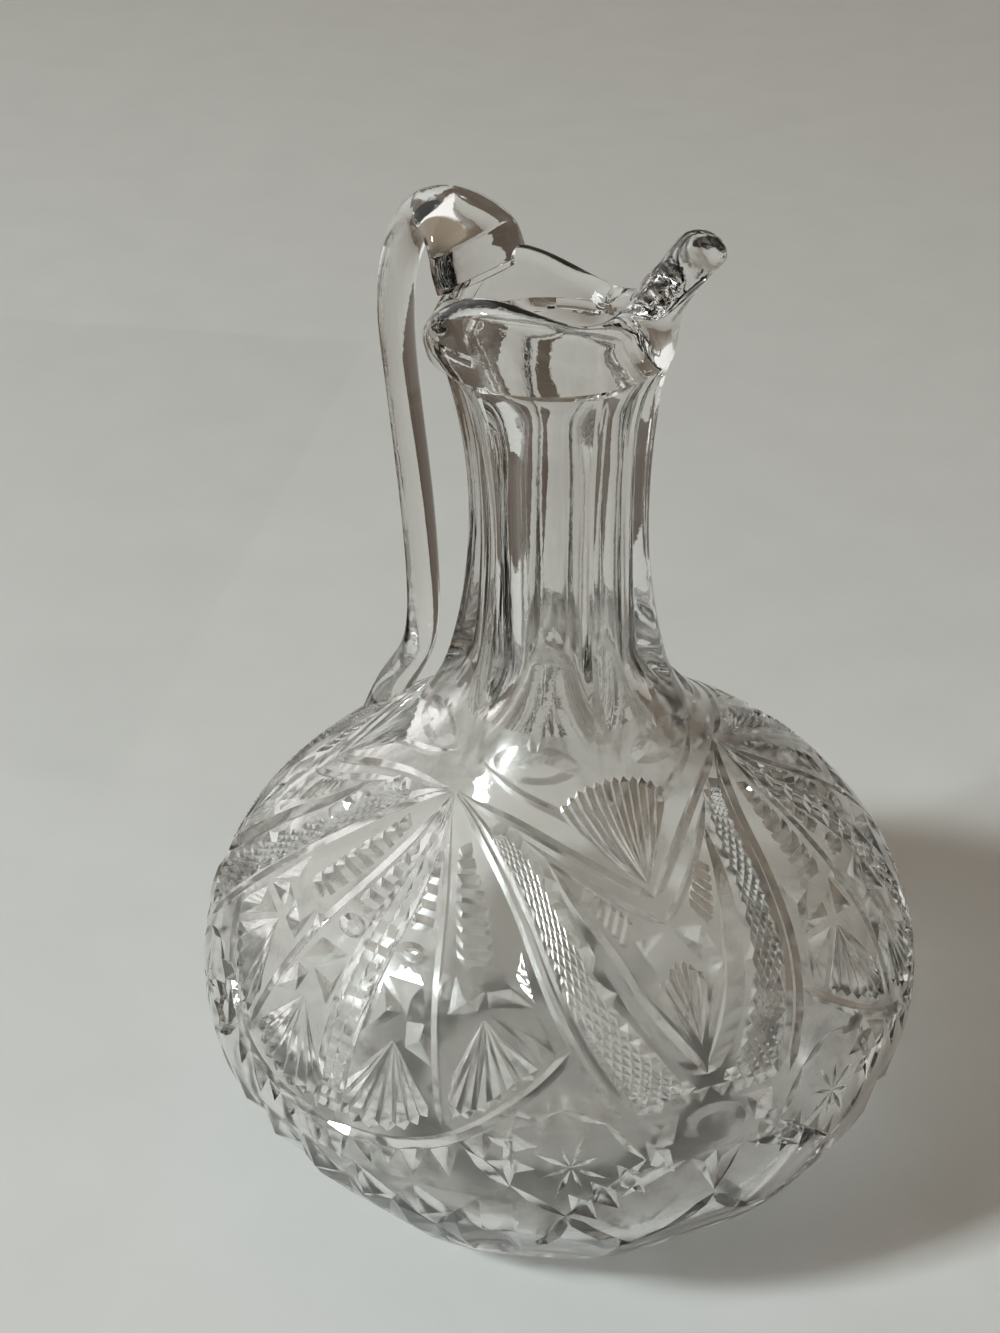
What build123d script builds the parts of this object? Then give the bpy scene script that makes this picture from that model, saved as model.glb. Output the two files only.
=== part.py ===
from build123d import *
import os
from math import atan2, cos, exp, pi, radians, sin, sqrt

# A small pressed-glass oil or vinegar jug, in millimetres.
# The base stands on z = 0 with the jug's axis on Z; the pouring spout points along +X.

# Foot
base_radius = 24.0
foot_height = 4.0
foot_scallops = 24
scallop_radius = 2.6
scallop_depth = 0.9
scallop_reach = 28.5
recess_radius = 17.5
recess_depth = 1.0
star_rays = 16
star_ray_depth = 0.7
star_ray_width = 1.8

# Bulb, outside
haunch_radius = 35.0
haunch_height = 8.2
belly_radius = 43.0
belly_height = 25.0
shoulder_radius = 35.6
shoulder_height = 43.9
root_radius = 17.8
root_height = 58.3

# Bulb, inside
bulb_wall = 4.0
floor_height = 7.0
floor_radius = 22.0

# Neck
waist_radius = 10.3
waist_height = 86.0
collar_radius = 12.9
collar_shift = 0.8
collar_height = 105.4
bore_radius = 6.6
bore_start_height = 70.0
bore_end_height = 94.0
flute_count = 6
flute_depth = 0.55
flute_run_out = 13.0

# Lip
lip_wall = 3.6
lip_root_radius = 13.2
rim_radius = 12.7
rim_height = 111.4
lobe_rise = 1.9
front_rise = 1.0
lobe_reach = 0.35
near_side_rise = 2.1
back_reach = 1.5
spout_reach = 4.3
spout_rise = 4.7
spout_spread = 25.0
pad_rise = 1.8
pad_spread = 30.0

# Handle
handle_azimuth = 147.0
pad_azimuth = 141.0
handle_top_height = 115.6
handle_reach = 24.6
stem_width = 4.3
stem_thickness = 3.5
arch_width = 8.4
arch_thickness = 4.8
pad_width = 12.6
pad_thickness = 5.0
pad_sink = 2.4
arch_rise = 6.0
arch_depth = 12.0
landing_rise = 4.0
landing_width = 6.4
landing_thickness = 4.4

# Cut pattern on the bulb, repeated three times round it
pattern_repeats = 3
groove_depth = 0.8
groove_flare = 1.15
hub_height = 57.6
side_ray_offset = 20.0
band_inner_offset = 46.0
band_outer_offset = 62.0
band_end_height = 35.5
ray_end_height = 29.0
centre_ray_end_height = 27.0
chevron_height = 49.0
groove_steps = 6

# Flat panels round the lower bulb
panel_count = 12
panel_depth = 2.4
panel_tilt = 36.0


def polar(radius, azimuth, height):
    """A point at a radius and azimuth (degrees) about the jug's axis."""
    return Vector(radius * cos(radians(azimuth)), radius * sin(radians(azimuth)), height)


def blend(value_a, value_b, share):
    """A value between two others."""
    return value_a + (value_b - value_a) * share


def largest(shape):
    """The biggest solid of a shape that a cut may have split."""
    return max(shape.solids(), key=lambda solid: solid.volume)


# Outer profile of the neck, as a function of height.
def neck_radius(height):
    """Radius of the neck's six ridges at a height."""
    if height < waist_height:
        share = (waist_height - height) / (waist_height - root_height)
        return waist_radius + (root_radius - waist_radius) * (0.72 * share**2 + 0.28 * share**7)
    share = (height - waist_height) / (collar_height - waist_height)
    return waist_radius + (collar_radius - waist_radius) * share**2


def neck_shift(height):
    """How far the neck's outline leans back from the axis at a height."""
    share = max(0.0, (height - waist_height) / (collar_height - waist_height))
    return -collar_shift * share**2


def neck_slope(height):
    """Change of the ridge radius for each millimetre of height."""
    step = 0.01
    return (neck_radius(height + step) - neck_radius(height)) / step


def bulb_outer_edge():
    """The bulb's outer profile from the edge of the foot to the neck's root."""
    return Edge.make_spline(
        [
            Vector(base_radius, 0, 0),
            Vector(haunch_radius, 0, haunch_height),
            Vector(belly_radius, 0, belly_height),
            Vector(shoulder_radius, 0, shoulder_height),
            Vector(root_radius, 0, root_height),
        ],
        tangents=[Vector(1, 0, 0.42), Vector(neck_slope(root_height), 0, 1)],
    )


def revolve_profile(edges):
    """A solid of revolution about Z from edges that close with the axis."""
    return revolve(Face(Wire(edges)), Axis.Z, 360)


def bulb_envelope():
    """The whole bulb and foot as one solid, before it is hollowed and cut."""
    outer = bulb_outer_edge()
    top = Edge.make_line(outer @ 1, Vector(0, 0, root_height))
    axis = Edge.make_line(Vector(0, 0, root_height), Vector(0, 0, 0))
    bottom = Edge.make_line(Vector(0, 0, 0), outer @ 0)
    return revolve_profile([outer, top, axis, bottom])


def height_slice(bottom, top):
    """A block that keeps only what lies between two heights."""
    side = 4 * belly_radius
    return Pos(0, 0, (bottom + top) / 2) * Box(side, side, top - bottom)


# The bulb's surface, seen from the middle of the belly, for the grooves that follow it.
surface_samples = []
for step in range(61):
    point = bulb_outer_edge() @ (step / 60)
    surface_samples.append((atan2(point.Z - belly_height, point.X), point.X, point.Z))


def surface_reach(elevation):
    """Distance from the belly's centre to the bulb's surface at an elevation (radians)."""
    for low, high in zip(surface_samples, surface_samples[1:]):
        if low[0] <= elevation <= high[0]:
            share = (elevation - low[0]) / (high[0] - low[0])
            radius = blend(low[1], high[1], share)
            height = blend(low[2], high[2], share)
            return sqrt(radius**2 + (height - belly_height) ** 2)
    last = surface_samples[-1] if elevation > 0 else surface_samples[0]
    return sqrt(last[1] ** 2 + (last[2] - belly_height) ** 2)


def surface_radius(height):
    """Radius of the bulb's surface at a height."""
    for low, high in zip(surface_samples, surface_samples[1:]):
        if low[2] <= height <= high[2]:
            return blend(low[1], high[1], (height - low[2]) / (high[2] - low[2]))
    return root_radius


def wall_point(height):
    """The point on the inside wall that faces the bulb's outer surface at a height."""
    step = 0.5
    slope = (surface_radius(height) - surface_radius(height - step)) / step
    share = bulb_wall / sqrt(1 + slope**2)
    return Vector(surface_radius(height) - share, 0, height + slope * share)


def inside_space():
    """The space that holds the liquid, from the floor up past the collar."""
    cavity_wall = Edge.make_spline(
        [
            Vector(floor_radius, 0, floor_height),
            wall_point(haunch_height),
            wall_point(belly_height),
            wall_point(shoulder_height),
            wall_point(blend(shoulder_height, root_height, 0.5)),
            wall_point(root_height),
            Vector(bore_radius, 0, bore_start_height),
        ],
        tangents=[Vector(1, 0, 0.05), Vector(0, 0, 1)],
    )
    bore = Edge.make_line(cavity_wall @ 1, Vector(bore_radius, 0, bore_end_height))
    throat = Edge.make_spline(
        [bore @ 1, Vector(lip_root_radius - lip_wall - collar_shift, 0, collar_height)],
        tangents=[Vector(0, 0, 1), Vector(0.35, 0, 1)],
    )
    top = Edge.make_line(throat @ 1, Vector(0, 0, collar_height))
    axis = Edge.make_line(Vector(0, 0, collar_height), Vector(0, 0, floor_height))
    floor = Edge.make_line(Vector(0, 0, floor_height), cavity_wall @ 0)
    return revolve_profile([cavity_wall, bore, throat, top, axis, floor])


def groove_cutter(start_azimuth, start_height, end_azimuth, end_height, depth=groove_depth):
    """A V-shaped cutter that follows the bulb's surface between two of its points."""
    centre = Vector(0, 0, belly_height)
    start = polar(surface_radius(start_height), start_azimuth, start_height) - centre
    end = polar(surface_radius(end_height), end_azimuth, end_height) - centre
    along = start.normalized()
    side = along.cross(end).normalized()
    across = side.cross(along).normalized()
    sweep = radians(start.get_angle(end))
    sections = []
    half_width = groove_flare + 0.9
    for offset, lift in ((-half_width, half_width), (0, 0), (half_width, half_width)):
        inner = []
        outer = []
        shorten = lift / belly_radius
        for step in range(groove_steps + 1):
            angle = blend(shorten, sweep - shorten, step / groove_steps)
            direction = along * cos(angle) + across * sin(angle)
            elevation = atan2(direction.Z, sqrt(direction.X**2 + direction.Y**2))
            reach = surface_reach(elevation)
            floor_reach = reach - depth + lift * depth / groove_flare
            inner.append(centre + side * offset + direction * floor_reach)
            outer.append(centre + side * offset + direction * (reach + 3.0))
        sections.append(Wire.make_polygon(inner + outer[::-1], close=True))
    return Solid.make_loft(sections, True)


def pattern_grooves():
    """Every long groove of the pressed pattern: rays, hobnail band borders and chevrons."""
    cutters = []
    half_repeat = 180.0 / pattern_repeats
    for repeat in range(pattern_repeats):
        hub = 360.0 / pattern_repeats * repeat
        cutters.append(groove_cutter(hub, hub_height, hub, centre_ray_end_height))
        for turn in (-1, 1):
            cutters.append(groove_cutter(hub, hub_height, hub + turn * side_ray_offset, ray_end_height))
            for border in (band_inner_offset, band_outer_offset):
                cutters.append(groove_cutter(hub, hub_height, hub + turn * border, band_end_height))
            cutters.append(groove_cutter(hub, hub_height, hub + turn * half_repeat, chevron_height))
    return cutters


def panel_cutters():
    """Flat cuts that leave a ring of facets round the lower bulb."""
    tilt = radians(panel_tilt)
    deepest = max(radius * cos(tilt) - height * sin(tilt) for _, radius, height in surface_samples)
    cutters = []
    block = 2 * belly_radius
    for index in range(panel_count):
        azimuth = 360.0 / panel_count * index
        normal = Vector(
            cos(tilt) * cos(radians(azimuth)),
            cos(tilt) * sin(radians(azimuth)),
            -sin(tilt),
        )
        plane = Plane(origin=normal * (deepest - panel_depth), z_dir=normal)
        cutters.append(plane * Pos(0, 0, block / 2) * Box(block, block, block))
    return cutters


def make_body_blank():
    """Bulb and foot together, hollow, with the facets and grooves cut."""
    blank = bulb_envelope() - inside_space()
    blank = blank - panel_cutters()
    return largest(blank - pattern_grooves())


def make_foot(blank):
    """The solid foot: scalloped edge, shallow recess and a star of rays underneath."""
    foot = largest(blank & height_slice(0, foot_height))
    slope = atan2(foot_height, surface_radius(foot_height) - base_radius)
    middle = Vector(scallop_reach, 0, (scallop_reach - base_radius) * sin(slope) / cos(slope))
    normal = Vector(sin(slope), 0, -cos(slope))
    notch_plane = Plane(
        origin=middle + normal * (scallop_radius - scallop_depth),
        x_dir=Vector(0, 1, 0),
        z_dir=Vector(cos(slope), 0, sin(slope)),
    )
    notch = notch_plane * Cylinder(scallop_radius, 4 * foot_height)
    cutters = [Rot(0, 0, 360.0 / foot_scallops * index) * notch for index in range(foot_scallops)]
    cutters.append(Cylinder(recess_radius, recess_depth, align=(Align.CENTER, Align.CENTER, Align.MIN)))
    ray_length = recess_radius * 0.92
    for index in range(star_rays):
        ray = Solid.make_loft(
            [
                Wire.make_polygon(
                    [
                        Vector(0.6, 0, recess_depth - 0.2),
                        Vector(ray_length * 0.55, -star_ray_width / 2, recess_depth - 0.2),
                        Vector(ray_length, 0, recess_depth - 0.2),
                        Vector(ray_length * 0.55, star_ray_width / 2, recess_depth - 0.2),
                    ],
                    close=True,
                ),
                Wire.make_polygon(
                    [
                        Vector(1.4, 0, recess_depth + star_ray_depth),
                        Vector(ray_length * 0.55, -0.05, recess_depth + star_ray_depth),
                        Vector(ray_length * 0.9, 0, recess_depth + star_ray_depth),
                        Vector(ray_length * 0.55, 0.05, recess_depth + star_ray_depth),
                    ],
                    close=True,
                ),
            ],
            True,
        )
        cutters.append(Rot(0, 0, 360.0 / star_rays * index) * ray)
    return largest(foot - cutters)


def neck_section(height):
    """The neck's outline at a height: ridges joined by hollow flutes."""
    ridge = neck_radius(height)
    share = min(1.0, max(0.0, (height - root_height) / flute_run_out))
    strength = share * share * (3 - 2 * share)
    hollow_middle = ridge * cos(pi / flute_count) - flute_depth
    middle = blend(ridge - 0.02, hollow_middle, strength)
    lean = Vector(neck_shift(height), 0, 0)
    arcs = []
    for index in range(flute_count):
        start = 360.0 / flute_count * index
        finish = 360.0 / flute_count * (index + 1)
        arcs.append(
            Edge.make_three_point_arc(
                polar(ridge, start, height) + lean,
                polar(middle, (start + finish) / 2, height) + lean,
                polar(ridge, finish, height) + lean,
            )
        )
    return Wire(arcs)


def make_neck():
    """The neck with its wide flutes, hollowed by the bore."""
    stations = 15
    heights = [blend(root_height, collar_height, (step / (stations - 1)) ** 1.3) for step in range(stations)]
    outside = Solid.make_loft([neck_section(height) for height in heights], False)
    return largest(outside - inside_space())


def rim_point(azimuth):
    """Outer radius and top height of the rim at an azimuth: three lobes and a raised spout."""
    turn = radians(azimuth)
    away = min(azimuth % 360, 360 - azimuth % 360)
    spout = exp(-((away / spout_spread) ** 2))
    pad = exp(-(((azimuth % 360 - pad_azimuth) / pad_spread) ** 2))
    radius = rim_radius + lobe_reach * cos(3 * turn) + back_reach * (1 - cos(turn)) / 2 + spout_reach * spout
    height = rim_height + lobe_rise * cos(3 * turn) + front_rise * cos(turn)
    height += spout_rise * spout + pad_rise * pad - near_side_rise * sin(turn)
    return radius, height, spout


def lip_section(azimuth):
    """The lip's wall in the half plane at an azimuth, as a closed wire."""
    radius, height, spout = rim_point(azimuth)
    turn = radians(azimuth)

    def place(distance, level):
        return Vector(distance * cos(turn), distance * sin(turn), level)

    wall = lip_wall * (1 - 0.1 * spout)
    round_over = wall / 2
    rise = height - collar_height
    root = lip_root_radius - collar_shift * cos(turn)
    draw = blend(0.45, 0.16, spout)
    outer_low = place(root, collar_height)
    outer_mid = place(blend(root, radius, draw) + 0.25, collar_height + rise * 0.42)
    outer_high = place(radius, height - round_over)
    crown = place(radius - round_over - 0.15 * spout, height)
    inner_high = place(radius - wall, height - round_over * 0.9)
    inner_mid = place(blend(root, radius, draw) - wall, collar_height + rise * 0.4)
    inner_low = place(root - lip_wall, collar_height)
    return Wire(
        [
            Edge.make_line(inner_low, outer_low),
            Edge.make_spline([outer_low, outer_mid, outer_high]),
            Edge.make_three_point_arc(outer_high, crown, inner_high),
            Edge.make_spline([inner_high, inner_mid, inner_low]),
        ]
    )


def make_lip():
    """The pouring lip, drawn round the axis in two halves that meet at the spout and the back."""
    halves = []
    steps = 12
    for start in (0.0, 180.0):
        sections = [lip_section(start + 180.0 / steps * index) for index in range(steps + 1)]
        halves.append(Solid.make_loft(sections, False))
    return largest(halves[0] + halves[1])


def handle_stations():
    """Centre line of the handle as (distance from the axis, height, width, thickness)."""
    rim_reach, rim_top, _ = rim_point(pad_azimuth)
    pad_height = min(rim_top - pad_sink, handle_top_height - arch_rise)
    arch_foot_height = handle_top_height - arch_depth
    landing_height = shoulder_height + landing_rise
    landing_reach = surface_radius(landing_height)

    def stem_height(share):
        return blend(landing_height, arch_foot_height, share)

    return [
        (rim_reach - 1.9, pad_height, pad_width, pad_thickness),
        (rim_reach - 1.4, blend(pad_height, handle_top_height - 2.5, 0.5), pad_width, pad_thickness),
        (rim_reach - 0.9, handle_top_height - 2.5, pad_width * 0.98, pad_thickness),
        (blend(rim_reach, handle_reach, 0.16), handle_top_height - 0.5, arch_width * 1.22, arch_thickness * 1.08),
        (blend(rim_reach, handle_reach, 0.5), handle_top_height - 0.4, arch_width * 0.92, arch_thickness),
        (blend(rim_reach, handle_reach, 0.82), handle_top_height - 4.0, arch_width * 0.68, arch_thickness * 0.84),
        (handle_reach, arch_foot_height, stem_width * 1.1, stem_thickness * 1.05),
        (handle_reach - 0.3, stem_height(0.87), stem_width, stem_thickness),
        (handle_reach - 2.0, stem_height(0.61), stem_width, stem_thickness),
        (handle_reach - 2.9, stem_height(0.38), stem_width, stem_thickness),
        (handle_reach - 1.7, stem_height(0.21), stem_width * 1.1, stem_thickness * 1.02),
        (blend(handle_reach, landing_reach, 0.35), stem_height(0.093), landing_width * 0.85, landing_thickness * 0.92),
        (landing_reach - 1.4, landing_height - 0.4, landing_width, landing_thickness),
    ]


def make_handle(others):
    """The applied handle: one tapering loop from the rim's pad to the shoulder."""
    stations = handle_stations()
    last = len(stations) - 1
    turn_share = [max(0.0, 1 - index / 6) for index in range(last + 1)]
    azimuths = [blend(handle_azimuth, pad_azimuth, share) for share in turn_share]
    points = [polar(station[0], azimuth, station[1]) for station, azimuth in zip(stations, azimuths)]
    sections = []
    for index, (_, _, width, thickness) in enumerate(stations):
        tangent = (points[min(index + 1, last)] - points[max(index - 1, 0)]).normalized()
        across = polar(1, azimuths[index] + 90, 0)
        sideways = (across - tangent * across.dot(tangent)).normalized()
        plane = Plane(origin=points[index], x_dir=sideways, z_dir=tangent)
        sections.append(Wire.make_ellipse(width / 2, thickness / 2, plane))
    loop = Solid.make_loft(sections, False)
    for other in others:
        loop = largest(loop - other)
    return loop


def bore_plug():
    """The lip's open middle, kept clear of the handle's pad."""
    reach = rim_radius - lip_wall + 0.9
    return Pos(0, 0, collar_height) * Cylinder(
        reach, 3 * (rim_height - collar_height), align=(Align.CENTER, Align.CENTER, Align.MIN)
    )


body_blank = make_body_blank()
star_foot = make_foot(body_blank)
pressed_bulb = largest(body_blank & height_slice(foot_height, root_height))
fluted_neck = make_neck()
pouring_lip = make_lip()
applied_handle = make_handle(
    [pouring_lip, fluted_neck, pressed_bulb, bore_plug(), inside_space()]
)

parts = {
    "star_foot": star_foot,
    "pressed_bulb": pressed_bulb,
    "fluted_neck": fluted_neck,
    "pouring_lip": pouring_lip,
    "applied_handle": applied_handle,
}

os.makedirs("parts", exist_ok=True)
for name, shape in parts.items():
    export_step(shape, f"parts/{name}.step")
    print(name, round(shape.volume), "mm3", shape.is_valid)
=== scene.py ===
"""Looks for a small pressed-glass oil or vinegar jug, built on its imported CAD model.

The jug's foot, bulb, neck and lip are made as one unbroken glass surface and then parted at the
heights where the CAD nodes meet, so each CAD node has its own piece. The faces that close a parted
piece, and those of the handle and the body that lie inside each other, are clear through and
through, so light sees one glass. Shapes are worked out in millimetres, and meshes are in metres.
"""

import math

import bpy
import numpy as np
from mathutils import Matrix, Vector
from mathutils.bvhtree import BVHTree
from mathutils.geometry import delaunay_2d_cdt


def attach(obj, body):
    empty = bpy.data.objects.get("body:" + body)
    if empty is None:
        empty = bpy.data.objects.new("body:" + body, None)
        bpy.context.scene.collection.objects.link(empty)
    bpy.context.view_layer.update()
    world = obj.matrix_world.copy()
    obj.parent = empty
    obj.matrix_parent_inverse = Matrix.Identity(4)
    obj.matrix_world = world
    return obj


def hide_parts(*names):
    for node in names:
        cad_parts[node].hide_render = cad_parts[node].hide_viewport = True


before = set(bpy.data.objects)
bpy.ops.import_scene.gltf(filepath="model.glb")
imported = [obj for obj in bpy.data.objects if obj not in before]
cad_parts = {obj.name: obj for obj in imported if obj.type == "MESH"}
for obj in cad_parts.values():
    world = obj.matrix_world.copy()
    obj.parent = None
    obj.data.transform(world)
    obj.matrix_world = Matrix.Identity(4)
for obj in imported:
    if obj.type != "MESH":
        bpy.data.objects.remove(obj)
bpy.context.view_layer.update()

bl_info = {
    "name": "Pressed glass cruet",
    "version": (1, 0, 0),
    "blender": (4, 5, 0),
    "location": "View3D > Sidebar > Cruet",
    "description": "Builds a small pressed-glass jug, its handle and a plain table scene",
    "category": "Object",
}

MM = 0.001

# The pattern's three repeats are each mirrored in themselves, so one half repeat spans 60 degrees.
REPEATS = 3
HALF_REPEAT = 60.0

# Counts, degrees, and heights and radii in millimetres, as in the CAD model.
FLUTES = 6
PANELS = 12
PANEL_TILT = 36.0
SCALLOPS = 24
SCALLOP_RADIUS = 2.6
SCALLOP_FADE = (2.2, 5.5)
STAR_RAYS = 16
TILE_RISE = 6.0
THROAT_FOOT, THROAT_TOP = 70.0, 94.0
THROAT_MOUTH = (9.2, 104.0)
COLLAR_EDGE = 13.2
FLUTE_SCOOP = 4.6

# Points round the whole jug, points along the top of one half repeat's flat tile, and the radius
# in millimetres at which the tile is unrolled.
AROUND = 240
TILE_STEPS = AROUND // (2 * REPEATS)
TILE_RADIUS = 30.0

# Edges sharper than this stay crisp: on the pressed glass, and on the tooled lip.
CREASE_ANGLE = math.radians(11.0)
SOFT_CREASE_ANGLE = math.radians(40.0)

# Kept off the belly's radius, because the smooth outline swells past its points a little.
CURVE_SPARE = 0.04

# Places of the dried film and of the clear join in each glass piece's material list.
FILM, JOIN = 1, 2

WINDOW_SIZE = 0.17
WINDOW_PLACE = (-0.70, -0.56, 0.754)


def length(name, description, millimetres):
    """A length that a user can change, kept in metres."""
    return bpy.props.FloatProperty(
        name=name, description=description, default=millimetres * MM, unit="LENGTH"
    )


def turned(name, description, degrees):
    """An angle that a user can change, kept in radians."""
    return bpy.props.FloatProperty(
        name=name, description=description, default=math.radians(degrees), unit="ROTATION"
    )


class VesselSizes(bpy.types.PropertyGroup):
    """Sizes of the blown and pressed body, as in the CAD model."""

    base_radius: length("Base radius", "Radius of the flat ring it stands on", 24.0)
    foot_height: length("Foot height", "Height of the scalloped foot", 4.0)
    scallop_depth: length("Scallop depth", "Depth of the hollows round the foot", 0.9)
    recess_radius: length("Recess radius", "Radius of the hollow underneath", 17.5)
    recess_depth: length("Recess depth", "Depth of the hollow underneath", 1.0)
    haunch_radius: length("Haunch radius", "Radius low on the bulb", 35.0)
    haunch_height: length("Haunch height", "Height of the haunch", 8.2)
    belly_radius: length("Belly radius", "Widest radius of the bulb", 43.0)
    belly_height: length("Belly height", "Height of the widest place", 25.0)
    shoulder_radius: length("Shoulder radius", "Radius at the shoulder", 35.6)
    shoulder_height: length("Shoulder height", "Height of the shoulder", 43.9)
    root_radius: length("Root radius", "Radius where the neck starts", 17.8)
    root_height: length("Root height", "Height where the neck starts", 58.3)
    wall: length("Bulb wall", "Thickness of the bulb's glass", 4.0)
    floor_height: length("Inside floor", "Height of the inside floor", 7.0)
    floor_radius: length("Floor radius", "Radius of the flat inside floor", 22.0)
    waist_radius: length("Waist radius", "Narrowest radius of the neck", 10.3)
    waist_height: length("Waist height", "Height of the neck's waist", 86.0)
    collar_radius: length("Collar radius", "Radius of the neck's top", 12.9)
    collar_height: length("Collar height", "Height of the neck's top", 105.4)
    collar_shift: length("Collar lean", "How far the collar leans back", 0.8)
    bore_radius: length("Bore radius", "Radius of the throat's bore", 6.6)
    lip_wall: length("Lip wall", "Thickness of the lip", 3.6)


class PatternSizes(bpy.types.PropertyGroup):
    """Depths of the pressed pattern."""

    ray_depth: length("Ray depth", "Depth of the long rays", 0.85)
    rung_depth: length("Rung depth", "Depth between the ladder rungs", 0.7)
    fan_depth: length("Fan depth", "Depth of the fans' flutes", 0.95)
    hobnail_depth: length("Hobnail depth", "Depth between the hobnails", 0.7)
    facet_depth: length("Facet depth", "Depth of the cut facets", 0.9)
    panel_depth: length("Panel depth", "Depth of the flat panels low on the bulb", 1.0)
    turn: turned("Pattern turn", "Turn of the bulb's pattern against the neck's flutes", 3.0)
    spacing: length("Mesh spacing", "Distance between points of the smooth glass", 1.05)


class HandleSizes(bpy.types.PropertyGroup):
    """Sizes of the applied loop handle."""

    azimuth: turned("Azimuth", "Turn of the handle from the spout", 147.0)
    pad_azimuth: turned("Pad azimuth", "Turn of the pad from the spout", 141.0)
    top_height: length("Top height", "Height of the arch's middle line", 115.6)
    reach: length("Reach", "Distance of the stem from the axis", 24.6)
    stem_width: length("Stem width", "Width of the thin stem", 4.3)
    stem_thickness: length("Stem thickness", "Thickness of the thin stem", 3.5)


class Finish(bpy.types.PropertyGroup):
    """Colours of the glass and the table."""

    glass_colour: bpy.props.FloatVectorProperty(
        name="Glass", description="Tint of the clear glass", default=(0.985, 0.978, 0.965), subtype="COLOR"
    )
    table_colour: bpy.props.FloatVectorProperty(
        name="Table", description="Colour of the plain table", default=(0.70, 0.70, 0.70), subtype="COLOR"
    )
    film: bpy.props.FloatProperty(
        name="Inside film",
        description="Blur of the dried film inside the bulb",
        default=0.16,
        subtype="FACTOR",
    )
    shadow_light: bpy.props.FloatProperty(
        name="Light through",
        description="Share of light that each glass surface passes on",
        default=0.33,
        subtype="FACTOR",
    )
    key_power: bpy.props.FloatProperty(
        name="Key light", description="Power of the window light in watts", default=11.2
    )
    room_level: bpy.props.FloatProperty(
        name="Room light", description="Strength of the light of the room", default=1.0
    )


def sizes(group):
    """The numbers of a property group, with lengths in millimetres."""
    values = {}
    for name, prop in group.bl_rna.properties.items():
        if prop.type != "FLOAT" or prop.is_array:
            continue
        value = getattr(group, name)
        values[name] = value / MM if prop.unit == "LENGTH" else value
    return type("Sizes", (), values)


def smooth_step(low, high, value):
    """A soft step from 0 at low to 1 at high."""
    share = np.clip((np.asarray(value, float) - low) / (high - low), 0.0, 1.0)
    return share * share * (3 - 2 * share)


def blend(value_a, value_b, share):
    """A value between two others."""
    return value_a + (value_b - value_a) * share


def fair_curve(points, start=None, end=None, steps=24):
    """Points along a smooth cubic through the given ones, with unit end directions if given."""
    points = np.asarray(points, float)
    gaps = np.linalg.norm(np.diff(points, axis=0), axis=1)
    count = len(points)
    matrix = np.zeros((count, count))
    right = np.zeros_like(points)
    for index in range(1, count - 1):
        before, after = gaps[index - 1], gaps[index]
        matrix[index, index - 1] = after
        matrix[index, index] = 2 * (before + after)
        matrix[index, index + 1] = before
        right[index] = 3 * (
            after * (points[index] - points[index - 1]) / before
            + before * (points[index + 1] - points[index]) / after
        )
    for index, direction, other in ((0, start, 1), (count - 1, end, count - 2)):
        matrix[index, index] = 1.0
        if direction is None:
            matrix[index, other] = 0.5
            chord = (points[max(index, other)] - points[min(index, other)]) / gaps[min(index, other)]
            right[index] = 1.5 * chord
        else:
            right[index] = np.asarray(direction, float) / np.linalg.norm(direction)
    slopes = np.linalg.solve(matrix, right)
    samples = []
    for index in range(count - 1):
        gap = gaps[index]
        for step in range(steps if index < count - 2 else steps + 1):
            share = step / steps
            samples.append(
                (2 * share**3 - 3 * share**2 + 1) * points[index]
                + (share**3 - 2 * share**2 + share) * gap * slopes[index]
                + (3 * share**2 - 2 * share**3) * points[index + 1]
                + (share**3 - share**2) * gap * slopes[index + 1]
            )
    return np.array(samples)


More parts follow.
